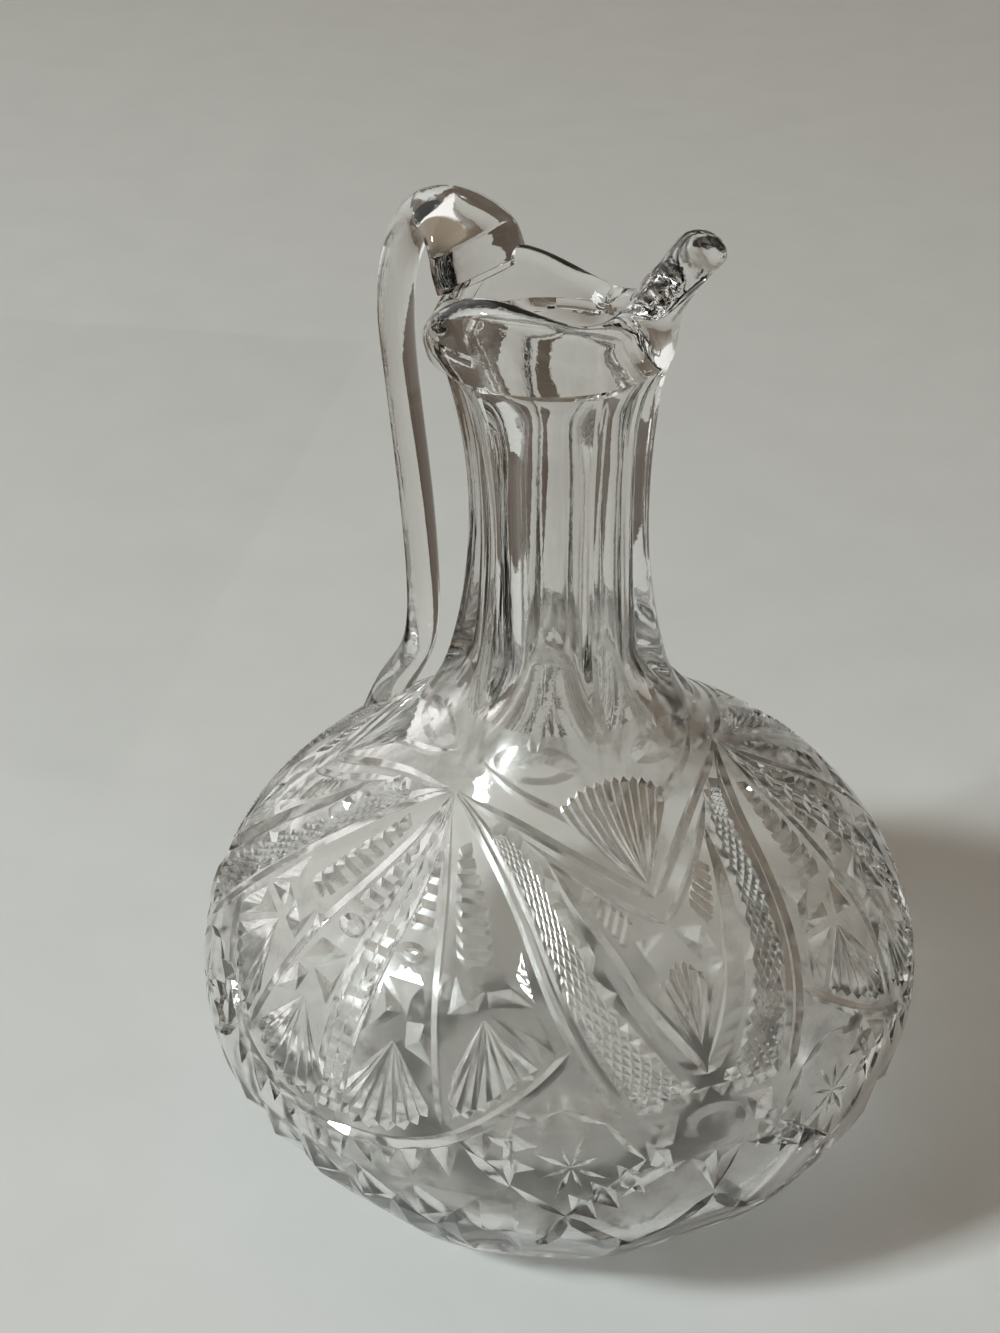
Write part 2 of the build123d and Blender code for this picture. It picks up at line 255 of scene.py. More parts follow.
class Outline:
    """The outer surface from the base's edge to the collar, along its profile."""

    def __init__(self, size):
        self.size = size
        slope = (self.neck_radius(size.root_height + 0.01) - size.root_radius) / 0.01
        bulb = fair_curve(
            [
                (size.base_radius, 0.0),
                (size.haunch_radius, size.haunch_height),
                (size.belly_radius - CURVE_SPARE, size.belly_height),
                (size.shoulder_radius, size.shoulder_height),
                (size.root_radius, size.root_height),
            ],
            (1.0, 0.42),
            (slope, 1.0),
            40,
        )
        heights = np.linspace(size.root_height, size.collar_height, 120)[1:]
        neck = np.array([(self.neck_radius(height), height) for height in heights])
        self.line = np.concatenate([bulb, neck])
        self.along = np.concatenate([[0.0], np.cumsum(np.linalg.norm(np.diff(self.line, axis=0), axis=1))])

    def neck_radius(self, height):
        """Radius of the neck's six ridges at a height."""
        size = self.size
        if height < size.waist_height:
            share = (size.waist_height - height) / (size.waist_height - size.root_height)
            growth = 0.72 * share**2 + 0.28 * share**7
            return size.waist_radius + (size.root_radius - size.waist_radius) * growth
        share = (height - size.waist_height) / (size.collar_height - size.waist_height)
        return size.waist_radius + (size.collar_radius - size.waist_radius) * share**2

    def reach(self, height):
        """Distance along the profile at a height."""
        return np.interp(height, self.line[:, 1], self.along)

    def radius(self, height):
        """Radius of the plain outline at a height."""
        return np.interp(height, self.line[:, 1], self.line[:, 0])

    def place(self, azimuth, distance):
        """Points on the outer surface at azimuths (radians) and distances along the profile."""
        size = self.size
        radius = np.interp(distance, self.along, self.line[:, 0])
        height = np.interp(distance, self.along, self.line[:, 1])
        ridge = radius
        run_out = smooth_step(size.root_height, size.root_height + 13.0, height)
        middle = blend(ridge - 0.02, ridge * math.cos(math.pi / FLUTES) - 0.55, run_out)
        away = np.mod(azimuth, math.pi / 3) - math.pi / 6
        flat = ridge * math.cos(math.pi / FLUTES)
        gap = np.where(np.abs(flat - middle) < 1e-4, 1e-4, flat - middle)
        centre = (ridge**2 - middle**2) / (2 * gap)
        arc = np.abs(middle - centre)
        inner = np.sqrt(np.maximum((centre * np.cos(away)) ** 2 - centre**2 + arc**2, 0.0))
        fluted = centre * np.cos(away) + np.where(middle > centre, inner, -inner)
        blunt = 0.34 * smooth_step(size.root_height, size.root_height + 8.0, height)
        fluted = np.minimum(fluted, (ridge - blunt) / np.cos(math.pi / FLUTES - np.abs(away)))
        radius = np.where(height > size.root_height, fluted, radius)
        lean = np.clip((height - size.waist_height) / (size.collar_height - size.waist_height), 0.0, 1.0)
        shift = -size.collar_shift * lean**2
        return np.stack([radius * np.cos(azimuth) + shift, radius * np.sin(azimuth), height], axis=-1)

    def normal(self, azimuth, distance):
        """Unit vectors out of the outer surface at the same places."""
        step = 0.02
        turn = self.place(azimuth + 0.001, distance) - self.place(azimuth - 0.001, distance)
        low = np.maximum(distance - step, 0.0)
        rise = self.place(azimuth, low + 2 * step) - self.place(azimuth, low)
        out = np.cross(turn, rise)
        return out / np.linalg.norm(out, axis=-1, keepdims=True)


def spots_along(line, picks):
    """Points of a flat line at whole or part steps along it."""
    steps = range(len(line))
    return [np.array([np.interp(pick, steps, line[:, axis]) for axis in (0, 1)]) for pick in picks]


class Relief:
    """Pressed relief on one flat tile: triangles with a height at each corner, in millimetres."""

    def __init__(self, outline, width, top):
        self.outline = outline
        self.width = width
        self.top = top
        self.facets = []
        self.lines = []

    def at(self, place):
        """Tile position of a (degrees from the hub, height) place."""
        return np.array([math.radians(place[0]) * TILE_RADIUS, self.outline.reach(place[1])])

    def stretch(self, point):
        """True millimetres along the tile's x for one tile millimetre, at a tile point."""
        return np.interp(point[1], self.outline.along, self.outline.line[:, 0]) / TILE_RADIUS

    def facet(self, *corners):
        """One flat triangle, each corner a tile point and a height."""
        self.facets.append([(corner[0][0], corner[0][1], corner[1]) for corner in corners])
        for first, second in zip(corners, corners[1:] + corners[:1]):
            self.lines.append((tuple(first[0]), tuple(second[0])))

    def line(self, points):
        """A line of edges that the mesh keeps."""
        for first, second in zip(points, points[1:]):
            self.lines.append((tuple(first), tuple(second)))

    def groove(self, places, half_width, depth, taper=6.0, end_taper=1.5):
        """A V-shaped groove along a smooth line of places, pointed at its ends."""
        line = fair_curve([self.at(place) for place in places], steps=10)
        gaps = np.linalg.norm(np.diff(line, axis=0), axis=1)
        along = np.concatenate([[0.0], np.cumsum(gaps)])
        count = max(2, int(along[-1] / 1.6))
        stations = np.linspace(0.0, along[-1], count + 1)
        middle = np.stack([np.interp(stations, along, line[:, axis]) for axis in (0, 1)], axis=1)
        rows = []
        for index, point in enumerate(middle):
            ahead = middle[min(index + 1, count)] - middle[max(index - 1, 0)]
            wide = self.stretch(point)
            across = np.array([-ahead[1], ahead[0] * wide])
            across = across / np.linalg.norm(across)
            left = along[-1] - stations[index]
            share = min(1.0, 0.12 + stations[index] / taper, 0.05 + left / end_taper)
            offset = np.array([across[0] / wide, across[1]]) * half_width * share
            rows.append((point + offset, point, point - offset, -depth * share))
        for first, second in zip(rows, rows[1:]):
            for side in (0, 2):
                self.facet((first[side], 0.0), (second[side], 0.0), (second[1], second[3]))
                self.facet((first[side], 0.0), (second[1], second[3]), (first[1], first[3]))

    def notch(self, start, end, half_width, depth):
        """A straight V-shaped cut between two tile points, deepest in its middle."""
        wide = self.stretch((start + end) / 2)
        ahead = end - start
        across = np.array([-ahead[1] / wide, ahead[0] * wide])
        across = across / np.hypot(across[0] * wide, across[1]) * half_width
        middle = (start + end) / 2
        for side in (middle + across, middle - across):
            self.facet((start, 0.0), (side, 0.0), (middle, -depth))
            self.facet((end, 0.0), (side, 0.0), (middle, -depth))

    def saw(self, places, count, half_width, depth):
        """Deep cuts across a line of places, which leave teeth between them."""
        line = fair_curve([self.at(place) for place in places], steps=12)
        for index in range(count):
            at = (index + 0.5) / count * (len(line) - 1)
            spot = spots_along(line, [at])[0]
            low = int(min(at, len(line) - 2))
            ahead = line[low + 1] - line[low]
            wide = self.stretch(spot)
            across = np.array([-ahead[1] / wide, ahead[0] * wide])
            across = across / np.hypot(across[0] * wide, across[1])
            self.notch(spot - across * 2.6, spot + across * 2.9, half_width, depth)

    def pyramid(self, places, height, apex=None):
        """Facets from the edge of a polygon of places to a raised or sunk point."""
        corners = [self.at(place) for place in places]
        peak = self.at(apex) if apex else sum(corners) / len(corners)
        for first, second in zip(corners, corners[1:] + corners[:1]):
            self.facet((first, 0.0), (second, 0.0), (peak, height))

    def fan(self, vertex, ends, depth, rays, overrun=0.7):
        """Flutes that widen from one vertex to a curved row of ends."""
        origin = self.at(vertex)
        line = fair_curve([self.at(place) for place in ends], steps=12)
        tips = spots_along(line, np.linspace(0, len(line) - 1, 2 * rays + 1))
        for index in range(rays):
            crest, valley, other = tips[2 * index], tips[2 * index + 1], tips[2 * index + 2]
            away = valley - origin
            stop = valley + away / np.linalg.norm(away) * overrun
            middle = blend(origin, valley, 0.45)
            self.facet((origin, 0.0), (crest, 0.0), (middle, -depth * 0.55))
            self.facet((crest, 0.0), (valley, -depth), (middle, -depth * 0.55))
            self.facet((origin, 0.0), (middle, -depth * 0.55), (other, 0.0))
            self.facet((middle, -depth * 0.55), (valley, -depth), (other, 0.0))
            self.facet((crest, 0.0), (stop, 0.0), (valley, -depth))
            self.facet((valley, -depth), (stop, 0.0), (other, 0.0))

    def ladder(self, left, right, rungs, depth):
        """Rungs between two sides, each side a (top, bottom) pair or line of places."""
        sides = []
        for side in (left, right):
            line = fair_curve([self.at(place) for place in side], steps=12)
            sides.append(spots_along(line, np.linspace(0, len(line) - 1, 2 * rungs + 1)))
        inset = 0.16
        for index in range(2 * rungs):
            heights = (0.0, -depth) if index % 2 == 0 else (-depth, 0.0)
            first = (sides[0][index], sides[1][index])
            second = (sides[0][index + 1], sides[1][index + 1])
            near = [blend(first[0], first[1], inset), blend(first[1], first[0], inset)]
            far = [blend(second[0], second[1], inset), blend(second[1], second[0], inset)]
            self.facet((near[0], heights[0]), (near[1], heights[0]), (far[1], heights[1]))
            self.facet((near[0], heights[0]), (far[1], heights[1]), (far[0], heights[1]))
            for side in (0, 1):
                self.facet((first[side], 0.0), (near[side], heights[0]), (far[side], heights[1]))
                self.facet((first[side], 0.0), (far[side], heights[1]), (second[side], 0.0))

    def hobnails(self, left, right, across, along, depth, rise):
        """Rows of small pyramids between two lines of places."""
        sides = []
        for side in (left, right):
            line = fair_curve([self.at(place) for place in side], steps=12)
            sides.append(spots_along(line, np.linspace(0, len(line) - 1, along + 1)))

        def corner(row, column):
            return blend(sides[0][row], sides[1][row], column / across)

        for row in range(1, along):
            for column in range(1, across):
                if (row + column) % 2:
                    continue
                corners = [
                    corner(row - 1, column),
                    corner(row, column + 1),
                    corner(row + 1, column),
                    corner(row, column - 1),
                ]
                peak = corner(row, column)
                for first, second in zip(corners, corners[1:] + corners[:1]):
                    self.facet((first, -depth), (second, -depth), (peak, rise))

    def button(self, place, wide, tall, height, points=16, star=0.0):
        """A round or star-shaped button: an ellipse of facets that rises to its middle."""
        centre = self.at(place)
        scale = self.stretch(centre)
        rings = []
        for share, rise in ((1.0, 0.0), (0.62, height * 0.72), (0.0, height)):
            ring = []
            for index in range(points):
                angle = 2 * math.pi * (index + 0.5) / points
                pull = 1 - star * (index % 2) if share == 1.0 else 1.0
                step = np.array([math.cos(angle) * wide / scale, math.sin(angle) * tall])
                ring.append((centre + step * share * pull, rise))
            rings.append(ring)
        for index in range(points):
            after = (index + 1) % points
            self.facet(rings[0][index], rings[0][after], rings[1][after])
            self.facet(rings[0][index], rings[1][after], rings[1][index])
            self.facet(rings[1][index], rings[1][after], (centre, height))

    def covered(self, points):
        """Height of the relief at each tile point, and whether any facet lies there."""
        cut = np.zeros(len(points))
        lift = np.zeros(len(points))
        inside = np.zeros(len(points), bool)
        for (ax, ay, ah), (bx, by, bh), (cx, cy, ch) in self.facets:
            area = (bx - ax) * (cy - ay) - (cx - ax) * (by - ay)
            if abs(area) < 1e-9:
                continue
            low_x, high_x = min(ax, bx, cx) - 1e-4, max(ax, bx, cx) + 1e-4
            low_y, high_y = min(ay, by, cy) - 1e-4, max(ay, by, cy) + 1e-4
            beside = (points[:, 0] >= low_x) & (points[:, 0] <= high_x)
            level = (points[:, 1] >= low_y) & (points[:, 1] <= high_y)
            near = np.nonzero(beside & level)[0]
            if not len(near):
                continue
            x, y = points[near, 0], points[near, 1]
            share_b = ((x - ax) * (cy - ay) - (cx - ax) * (y - ay)) / area
            share_c = ((bx - ax) * (y - ay) - (x - ax) * (by - ay)) / area
            slack = 2e-3
            hit = (share_b > -slack) & (share_c > -slack) & (share_b + share_c < 1 + slack)
            height = (ah + (bh - ah) * share_b + (ch - ah) * share_c)[hit]
            where = near[hit]
            inside[where] = True
            cut[where] = np.minimum(cut[where], height)
            lift[where] = np.maximum(lift[where], height)
        return np.where(cut < -1e-6, cut, lift), inside

    def clipped(self, line):
        """A kept line cut to the tile, or None if it lies outside."""
        (ax, ay), (bx, by) = line
        low, high = 0.0, 1.0
        for start, step, floor, ceiling in (
            (ax, bx - ax, 0.0, self.width),
            (ay, by - ay, 0.8, self.top - 0.8),
        ):
            if abs(step) < 1e-12:
                if start < floor - 1e-9 or start > ceiling + 1e-9:
                    return None
                continue
            first, second = (floor - start) / step, (ceiling - start) / step
            low = max(low, min(first, second))
            high = min(high, max(first, second))
        if high - low < 1e-6:
            return None
        ends = []
        for share in (low, high):
            x = min(max(ax + (bx - ax) * share, 0.0), self.width)
            ends.append((x, ay + (by - ay) * share))
        return ends

    def mesh(self, spacing, levels):
        """Points, triangles and relief heights of the tile; levels are kept as edges right across."""
        points, edges, index_of = [], [], {}

        def add(x, y):
            if abs(x) < 1e-5:
                x = 0.0
            if abs(x - self.width) < 1e-5:
                x = self.width
            key = (round(x, 4), round(y, 4))
            if key not in index_of:
                index_of[key] = len(points)
                points.append((x, y))
            return index_of[key]

        for level in (0.0, self.top, *levels):
            row = [add(self.width * step / TILE_STEPS, level) for step in range(TILE_STEPS + 1)]
            edges += list(zip(row, row[1:]))
        kept = {}
        for line in self.lines:
            ends = self.clipped(line)
            if ends is None:
                continue
            first, second = add(*ends[0]), add(*ends[1])
            if first != second:
                kept[(min(first, second), max(first, second))] = True
        edges += list(kept)
        sides = np.arange(spacing, self.top - spacing / 2, spacing)
        for x in (0.0, self.width):
            for y in sides:
                add(x, y)
        fixed = np.array(points)
        fill = []
        row_gap = spacing * 0.866
        rows = int(self.top / row_gap)
        for row in range(1, rows):
            y = self.top * row / rows
            wide = self.stretch((0, y))
            count = max(4, int(self.width * wide / spacing))
            for column in range(count):
                x = self.width * (column + (0.5 if row % 2 else 0.0)) / count
                if 0.3 * spacing / wide < x < self.width - 0.3 * spacing / wide:
                    fill.append((x, y))
        fill = np.array(fill)
        inside = self.covered(fill)[1]
        fill = fill[~inside]
        near = np.zeros(len(fill), bool)
        for start in range(0, len(fill), 400):
            block = fill[start : start + 400]
            wide = np.interp(block[:, 1], self.outline.along, self.outline.line[:, 0]) / TILE_RADIUS
            dx = (block[:, None, 0] - fixed[None, :, 0]) * wide[:, None]
            dy = block[:, None, 1] - fixed[None, :, 1]
            near[start : start + 400] = (dx * dx + dy * dy).min(axis=1) < (0.45 * spacing) ** 2
        for x, y in fill[~near]:
            points.append((float(x), float(y)))
        made = delaunay_2d_cdt([Vector(point) for point in points], edges, [], 0, 1e-5, False)
        flat = np.array([tuple(vertex) for vertex in made[0]])
        flat[np.abs(flat[:, 0]) < 2e-4, 0] = 0.0
        flat[np.abs(flat[:, 0] - self.width) < 2e-4, 0] = self.width
        triangles = []
        for face in made[2]:
            for index in range(1, len(face) - 1):
                triangles.append((face[0], face[index], face[index + 1]))
        return flat, np.array(triangles), self.covered(flat)[0]


def press_rays(relief, ray, rung):
    """The long rays that leave the hub, their chevrons over the shoulder and the great arc below."""
    beside = [(0.8, 57.6), (2.6, 53.0), (3.1, 47.0), (2.5, 38.0), (1.9, 29.4)]
    relief.groove(beside, 0.5, ray * 0.8, taper=8)
    relief.ladder(
        [(0, 56.4), (0, 47.0), (0, 38.0), (0, 30.2)],
        [(0.9, 56.4), *beside[2:4], (1.9, 30.2)],
        17,
        rung * 0.55,
    )
    thin_ray = [(0.6, 57.6), (6, 53.8), (11.5, 49.2), (15.5, 43), (19.2, 33.0)]
    relief.groove(thin_ray, 0.5, ray * 0.55, taper=8)
    border = [
        (1.5, 57.9), (9, 56.8), (16, 55.2), (20.5, 53.9), (29, 50.1), (35.5, 45), (42, 38.5), (46, 34.6)
    ]
    relief.groove(border, 0.55, ray * 0.75, taper=7)
    relief.groove([(a + 2.2 * min(1.0, a / 16), z + 0.25) for a, z in border], 0.5, ray * 0.6, taper=9)
    chevron = [(1.5, 58.2), (12, 57.7), (22.5, 57.2), (37, 55.7), (48, 53.9), (60, 51.3)]
    relief.groove(chevron, 0.6, ray * 0.75, taper=8)
    relief.groove([(28, 55.9), (34, 54.9), (42, 53.4), (51, 51.5), (60, 49.5)], 0.5, ray * 0.6, taper=5)
    relief.groove([(7, 61.4), (22, 59.6), (37, 58.3), (50, 56.1), (58, 53.0)], 0.55, ray * 0.35, taper=9)
    great_arc = [(0, 28.4), (10, 29.1), (20, 31.4), (28, 35.1), (36, 39.5), (38.6, 41.2)]
    relief.groove(great_arc, 0.7, ray * 0.7, taper=0.01)


def press_between_rays(relief, rung, fan, facet):
    """Ladders, cut facets and fans between the rays."""
    relief.ladder(
        [(8.8, 54.4), (12.4, 51.0), (17.2, 46.9)], [(12.0, 55.0), (20.4, 51.0), (24.2, 47.3)], 8, rung
    )
    relief.ladder(
        [(3.2, 53.6), (3.6, 51.0), (4.2, 48.4)], [(4.6, 53.9), (7.6, 51.0), (10.2, 48.5)], 5, rung
    )
    relief.button((7.4, 46.8), 2.0, 1.3, -facet * 0.9, points=12)
    relief.pyramid([(13.6, 46.4), (16.4, 46.0), (14.6, 43.4)], -facet * 0.7)

    relief.pyramid([(17.3, 46.2), (23.4, 45.5), (22.6, 43.9), (17.6, 43.2)], -facet * 0.7, (20.0, 44.4))
    relief.pyramid([(24.6, 46.9), (29.2, 48.4), (32.4, 45.0), (28.0, 46.0)], -facet * 0.6)
    relief.pyramid([(23.6, 45.4), (28.0, 45.9), (32.3, 44.6), (24.6, 44.3)], -facet, (28.2, 45.1))
    relief.pyramid(
        [(25.4, 43.6), (32.6, 44.1), (36.2, 40.9), (34.5, 39.9), (30.4, 41.9)], -facet * 0.8, (32.6, 42.2)
    )
    relief.pyramid([(1.6, 46.2), (3.6, 44.4), (4.0, 40.0), (1.6, 38.2)], -facet * 0.8, (2.4, 42.8))
    relief.pyramid([(4.2, 44.2), (10.0, 42.4), (4.6, 40.2)], -facet, (6.0, 42.0))
    relief.pyramid([(4.6, 44.8), (11.8, 44.9), (13.6, 42.4), (10.6, 42.3)], -facet * 0.7, (10.0, 43.7))
    relief.pyramid([(10.8, 41.8), (14.0, 42.0), (17.0, 38.4), (11.6, 39.6)], -facet * 0.8, (13.4, 40.4))

    relief.fan((24.0, 43.4), [(20.4, 38.6), (21.6, 34.4), (25.6, 35.8), (29.2, 37.8), (33.4, 39.6)], fan, 7)
    relief.fan((9.5, 39.9), [(2.0, 33.6), (4.0, 30.7), (9.5, 30.9), (14.4, 32.4), (17.0, 34.6)], fan, 8)


def press_bands(relief, hobnail, rung, fan, facet):
    """The hobnail band, the bright mitre strip beside it and what lies above the fans' meridian."""
    relief.hobnails(
        [(17.5, 55.7), (24.5, 53.7), (33.0, 49.4), (37.0, 46.4), (41.5, 42.0), (45.5, 38.2), (48.8, 35.2)],
        [(20.5, 56.2), (28.5, 54.9), (35.8, 51.6), (41.5, 48.0), (47.0, 43.4), (52.0, 39.4), (56.6, 35.7)],
        across=8,
        along=38,
        depth=hobnail,
        rise=0.15,
    )
    strip = [(35.2, 54.4), (38.6, 51.8), (44.4, 47.9), (48.2, 44.6), (54.2, 39.8), (59.3, 36.9)]
    floor = [(36.6, 53.9), (41.6, 51.2), (48.2, 47.4), (51.6, 44.4), (56.8, 40.0), (60.0, 37.4)]
    upper = [(37.4, 53.9), (42.6, 51.4), (49.2, 47.7), (52.4, 44.8), (57.6, 40.6), (60.0, 38.2)]
    sides = [fair_curve([relief.at(place) for place in side], steps=4) for side in (strip, floor, upper)]
    for index in range(len(sides[0]) - 1):
        deep = [0.0 if at in (0, len(sides[0]) - 1) else -facet for at in (index, index + 1)]
        near, far = (sides[1][index], deep[0]), (sides[1][index + 1], deep[1])
        for side in (0, 2):
            relief.facet((sides[side][index], 0.0), (sides[side][index + 1], 0.0), far)
            relief.facet((sides[side][index], 0.0), far, near)

    relief.ladder(
        [(42.4, 52.0), (46.4, 50.2), (50.4, 48.2)],
        [(44.4, 52.8), (49.0, 51.6), (53.4, 50.2)],
        6,
        rung * 0.8,
    )
    relief.pyramid([(52.4, 48.8), (59.0, 49.0), (55.4, 46.4), (51.2, 46.6)], -facet * 0.8, (54.2, 47.8))
    relief.pyramid([(51.3, 46.0), (55.2, 45.8), (58.6, 40.6)], -facet * 0.8)
    relief.fan((60, 40.2), [(56.0, 45.0), (58.0, 46.3), (60.0, 46.8)], fan * 0.8, 3, 0.4)
    relief.fan((60, 52.2), [(40.0, 58.0), (45.5, 59.2), (52.5, 59.9), (60.0, 60.2)], fan, 6, 0.6)
    relief.button((29.5, 61.9), 4.9, 2.0, -facet * 0.75, points=22)


def press_lower_belt(relief, ray, facet):
    """The kite with its star, the teeth under the great arc and the points down to the foot."""
    relief.button((60, 32.2), 3.8, 2.3, 0.45, points=20)
    kite = [(29.8, 34.0), (37.0, 35.8), (43.6, 34.2), (49.2, 29.6), (37.6, 22.2), (29.6, 26.8)]
    for first, second in zip(kite, kite[1:] + kite[:1]):
        relief.groove([first, second], 0.45, ray * 0.65, taper=0.9, end_taper=0.9)
    star, degree = (38.4, 29.4), 0.74
    for index in range(8):
        angle = math.pi * (index + 0.5) / 4
        long = 3.9 if index % 2 else 2.9
        tip = (star[0] + math.cos(angle) * long / degree, star[1] + math.sin(angle) * long)
        start = (blend(star[0], tip[0], 0.12), blend(star[1], tip[1], 0.12))
        relief.groove([start, tip], 0.42, ray * 0.6, taper=2.2)
    relief.pyramid([(49.8, 33.8), (54.6, 34.2), (53.4, 31.0), (50.4, 30.6)], -facet)
    relief.pyramid([(48.8, 28.4), (55.2, 28.6), (45.2, 24.6)], -facet)
    relief.pyramid([(56.4, 36.0), (60.0, 36.2), (58.2, 34.8)], -facet * 0.5)
    relief.pyramid([(55.8, 28.8), (60.0, 29.0), (60.0, 23.0)], -facet)
    low, middle, high, valley = 6.5, 12.5, 18.5, -ray * 1.5
    for index in range(4):
        a = 10.0 * index
        for side in (-1, 1):
            if not 0 <= a + side * 5 <= 30:
                continue
            centre, edge = (relief.at((a, middle)), 0.0), (relief.at((a + side * 5, middle)), valley)
            for height in (low, high):
                end = (relief.at((a, height)), 0.0 if height == low or a == 30 else valley)
                relief.facet(centre, edge, end)
            outer = (relief.at((a + side * 5, low)), 0.0)
            relief.facet(edge, (relief.at((a, low)), 0.0), outer)
    for a in (5.0, 15.0, 25.0):
        centre = (relief.at((a, high)), 0.0)
        for side in (-1, 1):
            corner = relief.at((a + side * 5, high))
            edge = (corner, 0.0 if a + side * 5 == 30 else valley)
            relief.facet(centre, edge, (relief.at((a, middle)), valley))
            relief.facet(centre, edge, (relief.at((a, high + 6)), 0.0))
            relief.facet(edge, (relief.at((a, high + 6)), 0.0), (relief.at((a + side * 5, high + 6)), 0.0))
    relief.saw([(38.6, 22.6), (45.0, 26.0), (53.6, 30.6)], 4, 1.35, ray * 1.7)
    relief.saw([(29.6, 28.0), (30.6, 36.0)], 3, 1.1, ray * 1.2)
    for first, second, half in (
        ((29.5, 26.6), (23.2, 30.6), 0.6),
        ((29.3, 33.6), (29.6, 26.8), 0.6),
        ((37.6, 22.0), (33.0, 12.0), 0.8),
        ((37.8, 22.0), (49.0, 13.0), 0.8),
        ((60.0, 22.4), (50.0, 14.0), 0.8),
    ):
        relief.groove([first, second], half, ray * 1.1, taper=1.2, end_taper=1.2)
    for start, end, apex, low in (
        (0.3, 4.3, 2.2, 23.4),
        (4.8, 9.4, 8.2, 25.4),
        (9.8, 12.4, 11.2, 26.2),
        (12.8, 17.4, 15.0, 25.6),
        (17.8, 22.2, 20.6, 26.8),
        (22.8, 27.6, 25.8, 29.4),
    ):
        top = np.interp([start, (start + end) / 2, end], [0, 10, 20, 28], [27.4, 28.1, 30.3, 33.9])
        corners = [relief.at((start, top[0])), relief.at((end, top[2])), relief.at((apex, low))]
        valley = relief.at(((start + end) / 2, top[1] - 0.5))
        for first, second in zip(corners, corners[1:] + corners[:1]):
            relief.facet((first, 0.0), (second, 0.0), (valley, -facet * 1.25))


def pressed_pattern(relief, depths):
    """Every cut and press of one half repeat, from the hub's meridian (0) to the fan's (60)."""
    ray, rung, fan, facet = depths.ray_depth, depths.rung_depth, depths.fan_depth, depths.facet_depth
    press_rays(relief, ray, rung)
    press_between_rays(relief, rung, fan, facet)
    press_bands(relief, depths.hobnail_depth, rung, fan, facet)
    press_lower_belt(relief, ray, facet)


def panel_plane(outline, depth):
    """Tilt of the flat panels and their distance from the origin."""
    tilt = math.radians(PANEL_TILT)
    bulb = outline.line[outline.line[:, 1] <= outline.size.root_height]
    deepest = (bulb[:, 0] * math.cos(tilt) - bulb[:, 1] * math.sin(tilt)).max()
    return tilt, deepest - depth


def panel_edges(relief, depth):
    """The panels' outlines on the tile, kept as edges."""
    outline = relief.outline
    tilt, distance = panel_plane(outline, depth)
    heights = np.linspace(1.2, 26.0, 60)
    radius = outline.radius(heights)
    reach = (distance + heights * math.sin(tilt)) / (radius * math.cos(tilt))
    half = np.degrees(np.arccos(np.clip(reach, -1.0, 1.0)))
    pitch = 360.0 / PANELS
    for centre in (0.0, pitch, 2 * pitch):
        for side in (-1, 1):
            line = []
            for height, width in zip(heights, half):
                if width > 0:
                    line.append(relief.at((centre + side * min(width, pitch / 2), height)))
            relief.line(line[::2])


def flatten_panels(points, normals, outline, depth, turn):
    """Points outside the flat panels are pressed back on to them."""
    tilt, distance = panel_plane(outline, depth)
    moved = points.copy()
    least = 0.2
    for index in range(PANELS):
        azimuth = turn + index * 2 * math.pi / PANELS
        level = math.cos(tilt)
        out = np.array([level * math.cos(azimuth), level * math.sin(azimuth), -math.sin(tilt)])
        over = moved @ out - distance
        along = normals @ out
        push = np.where((over > 0) & (along > least), over / np.maximum(along, least), 0.0)
        moved = moved - normals * push[:, None]
    return moved


def outer_tiles(size, depths, outline):
    """The whole pressed outside, from the base's edge to the tile's top, as points and triangles."""
    top_height = size.root_height + TILE_RISE
    relief = Relief(outline, math.radians(HALF_REPEAT) * TILE_RADIUS, float(outline.reach(top_height)))
    pressed_pattern(relief, depths)
    panel_edges(relief, depths.panel_depth)
    levels = [float(outline.reach(size.foot_height)), float(outline.reach(size.root_height))]
    flat, triangles, relief_height = relief.mesh(depths.spacing, levels)
    local = flat[:, 0] / TILE_RADIUS
    height = np.interp(flat[:, 1], outline.along, outline.line[:, 1])
    turn = depths.turn * (1 - smooth_step(size.root_height - 9.0, size.root_height + 1.0, height))
    all_points, all_triangles = [], []
    offset = 0
    for repeat in range(REPEATS):
        for side in (1, -1):
            azimuth = 2 * math.pi / REPEATS * repeat + side * local + turn
            points = outline.place(azimuth, flat[:, 1])
            normals = outline.normal(azimuth, flat[:, 1])
            points = flatten_panels(points, normals, outline, depths.panel_depth, depths.turn)
            points = points + normals * relief_height[:, None]
            pitch = 2 * math.pi / SCALLOPS
            away = (np.mod(azimuth - depths.turn + pitch / 2, pitch) - pitch / 2) * outline.radius(height)
            hollow = np.maximum(size.scallop_depth * 1.2 - away**2 / (2 * SCALLOP_RADIUS), 0.0)
            hollow = hollow * (1 - smooth_step(*SCALLOP_FADE, height))
            points[:, 0] -= hollow * np.cos(azimuth)
            points[:, 1] -= hollow * np.sin(azimuth)
            all_points.append(points)
            all_triangles.append((triangles if side > 0 else triangles[:, ::-1]) + offset)
            offset += len(points)
    rims = []
    order = list(range(TILE_STEPS + 1))
    for level in (0.0, relief.top):
        ring = []
        for repeat in range(REPEATS):
            for side in (1, -1):
                steps = order if side > 0 else order[::-1]
                for step in steps:
                    flat_x = relief.width * step / TILE_STEPS
                    spot = np.argmin(np.abs(flat[:, 0] - flat_x) + np.abs(flat[:, 1] - level))
                    block = repeat * 2 + (0 if side > 0 else 1)
                    ring.append((block, spot))
        rims.append(ring)
    points = np.concatenate(all_points)
    count = len(flat)
    rings = []
    for ring in rims:
        spots = {}
        for block, spot in ring:
            point = points[block * count + spot]
            angle = round(math.degrees(math.atan2(point[1], point[0])) % 360, 2)
            spots[angle % 360] = point
        rings.append(np.array([spots[angle] for angle in sorted(spots)]))
    return points, np.concatenate(all_triangles), rings[0], rings[1]


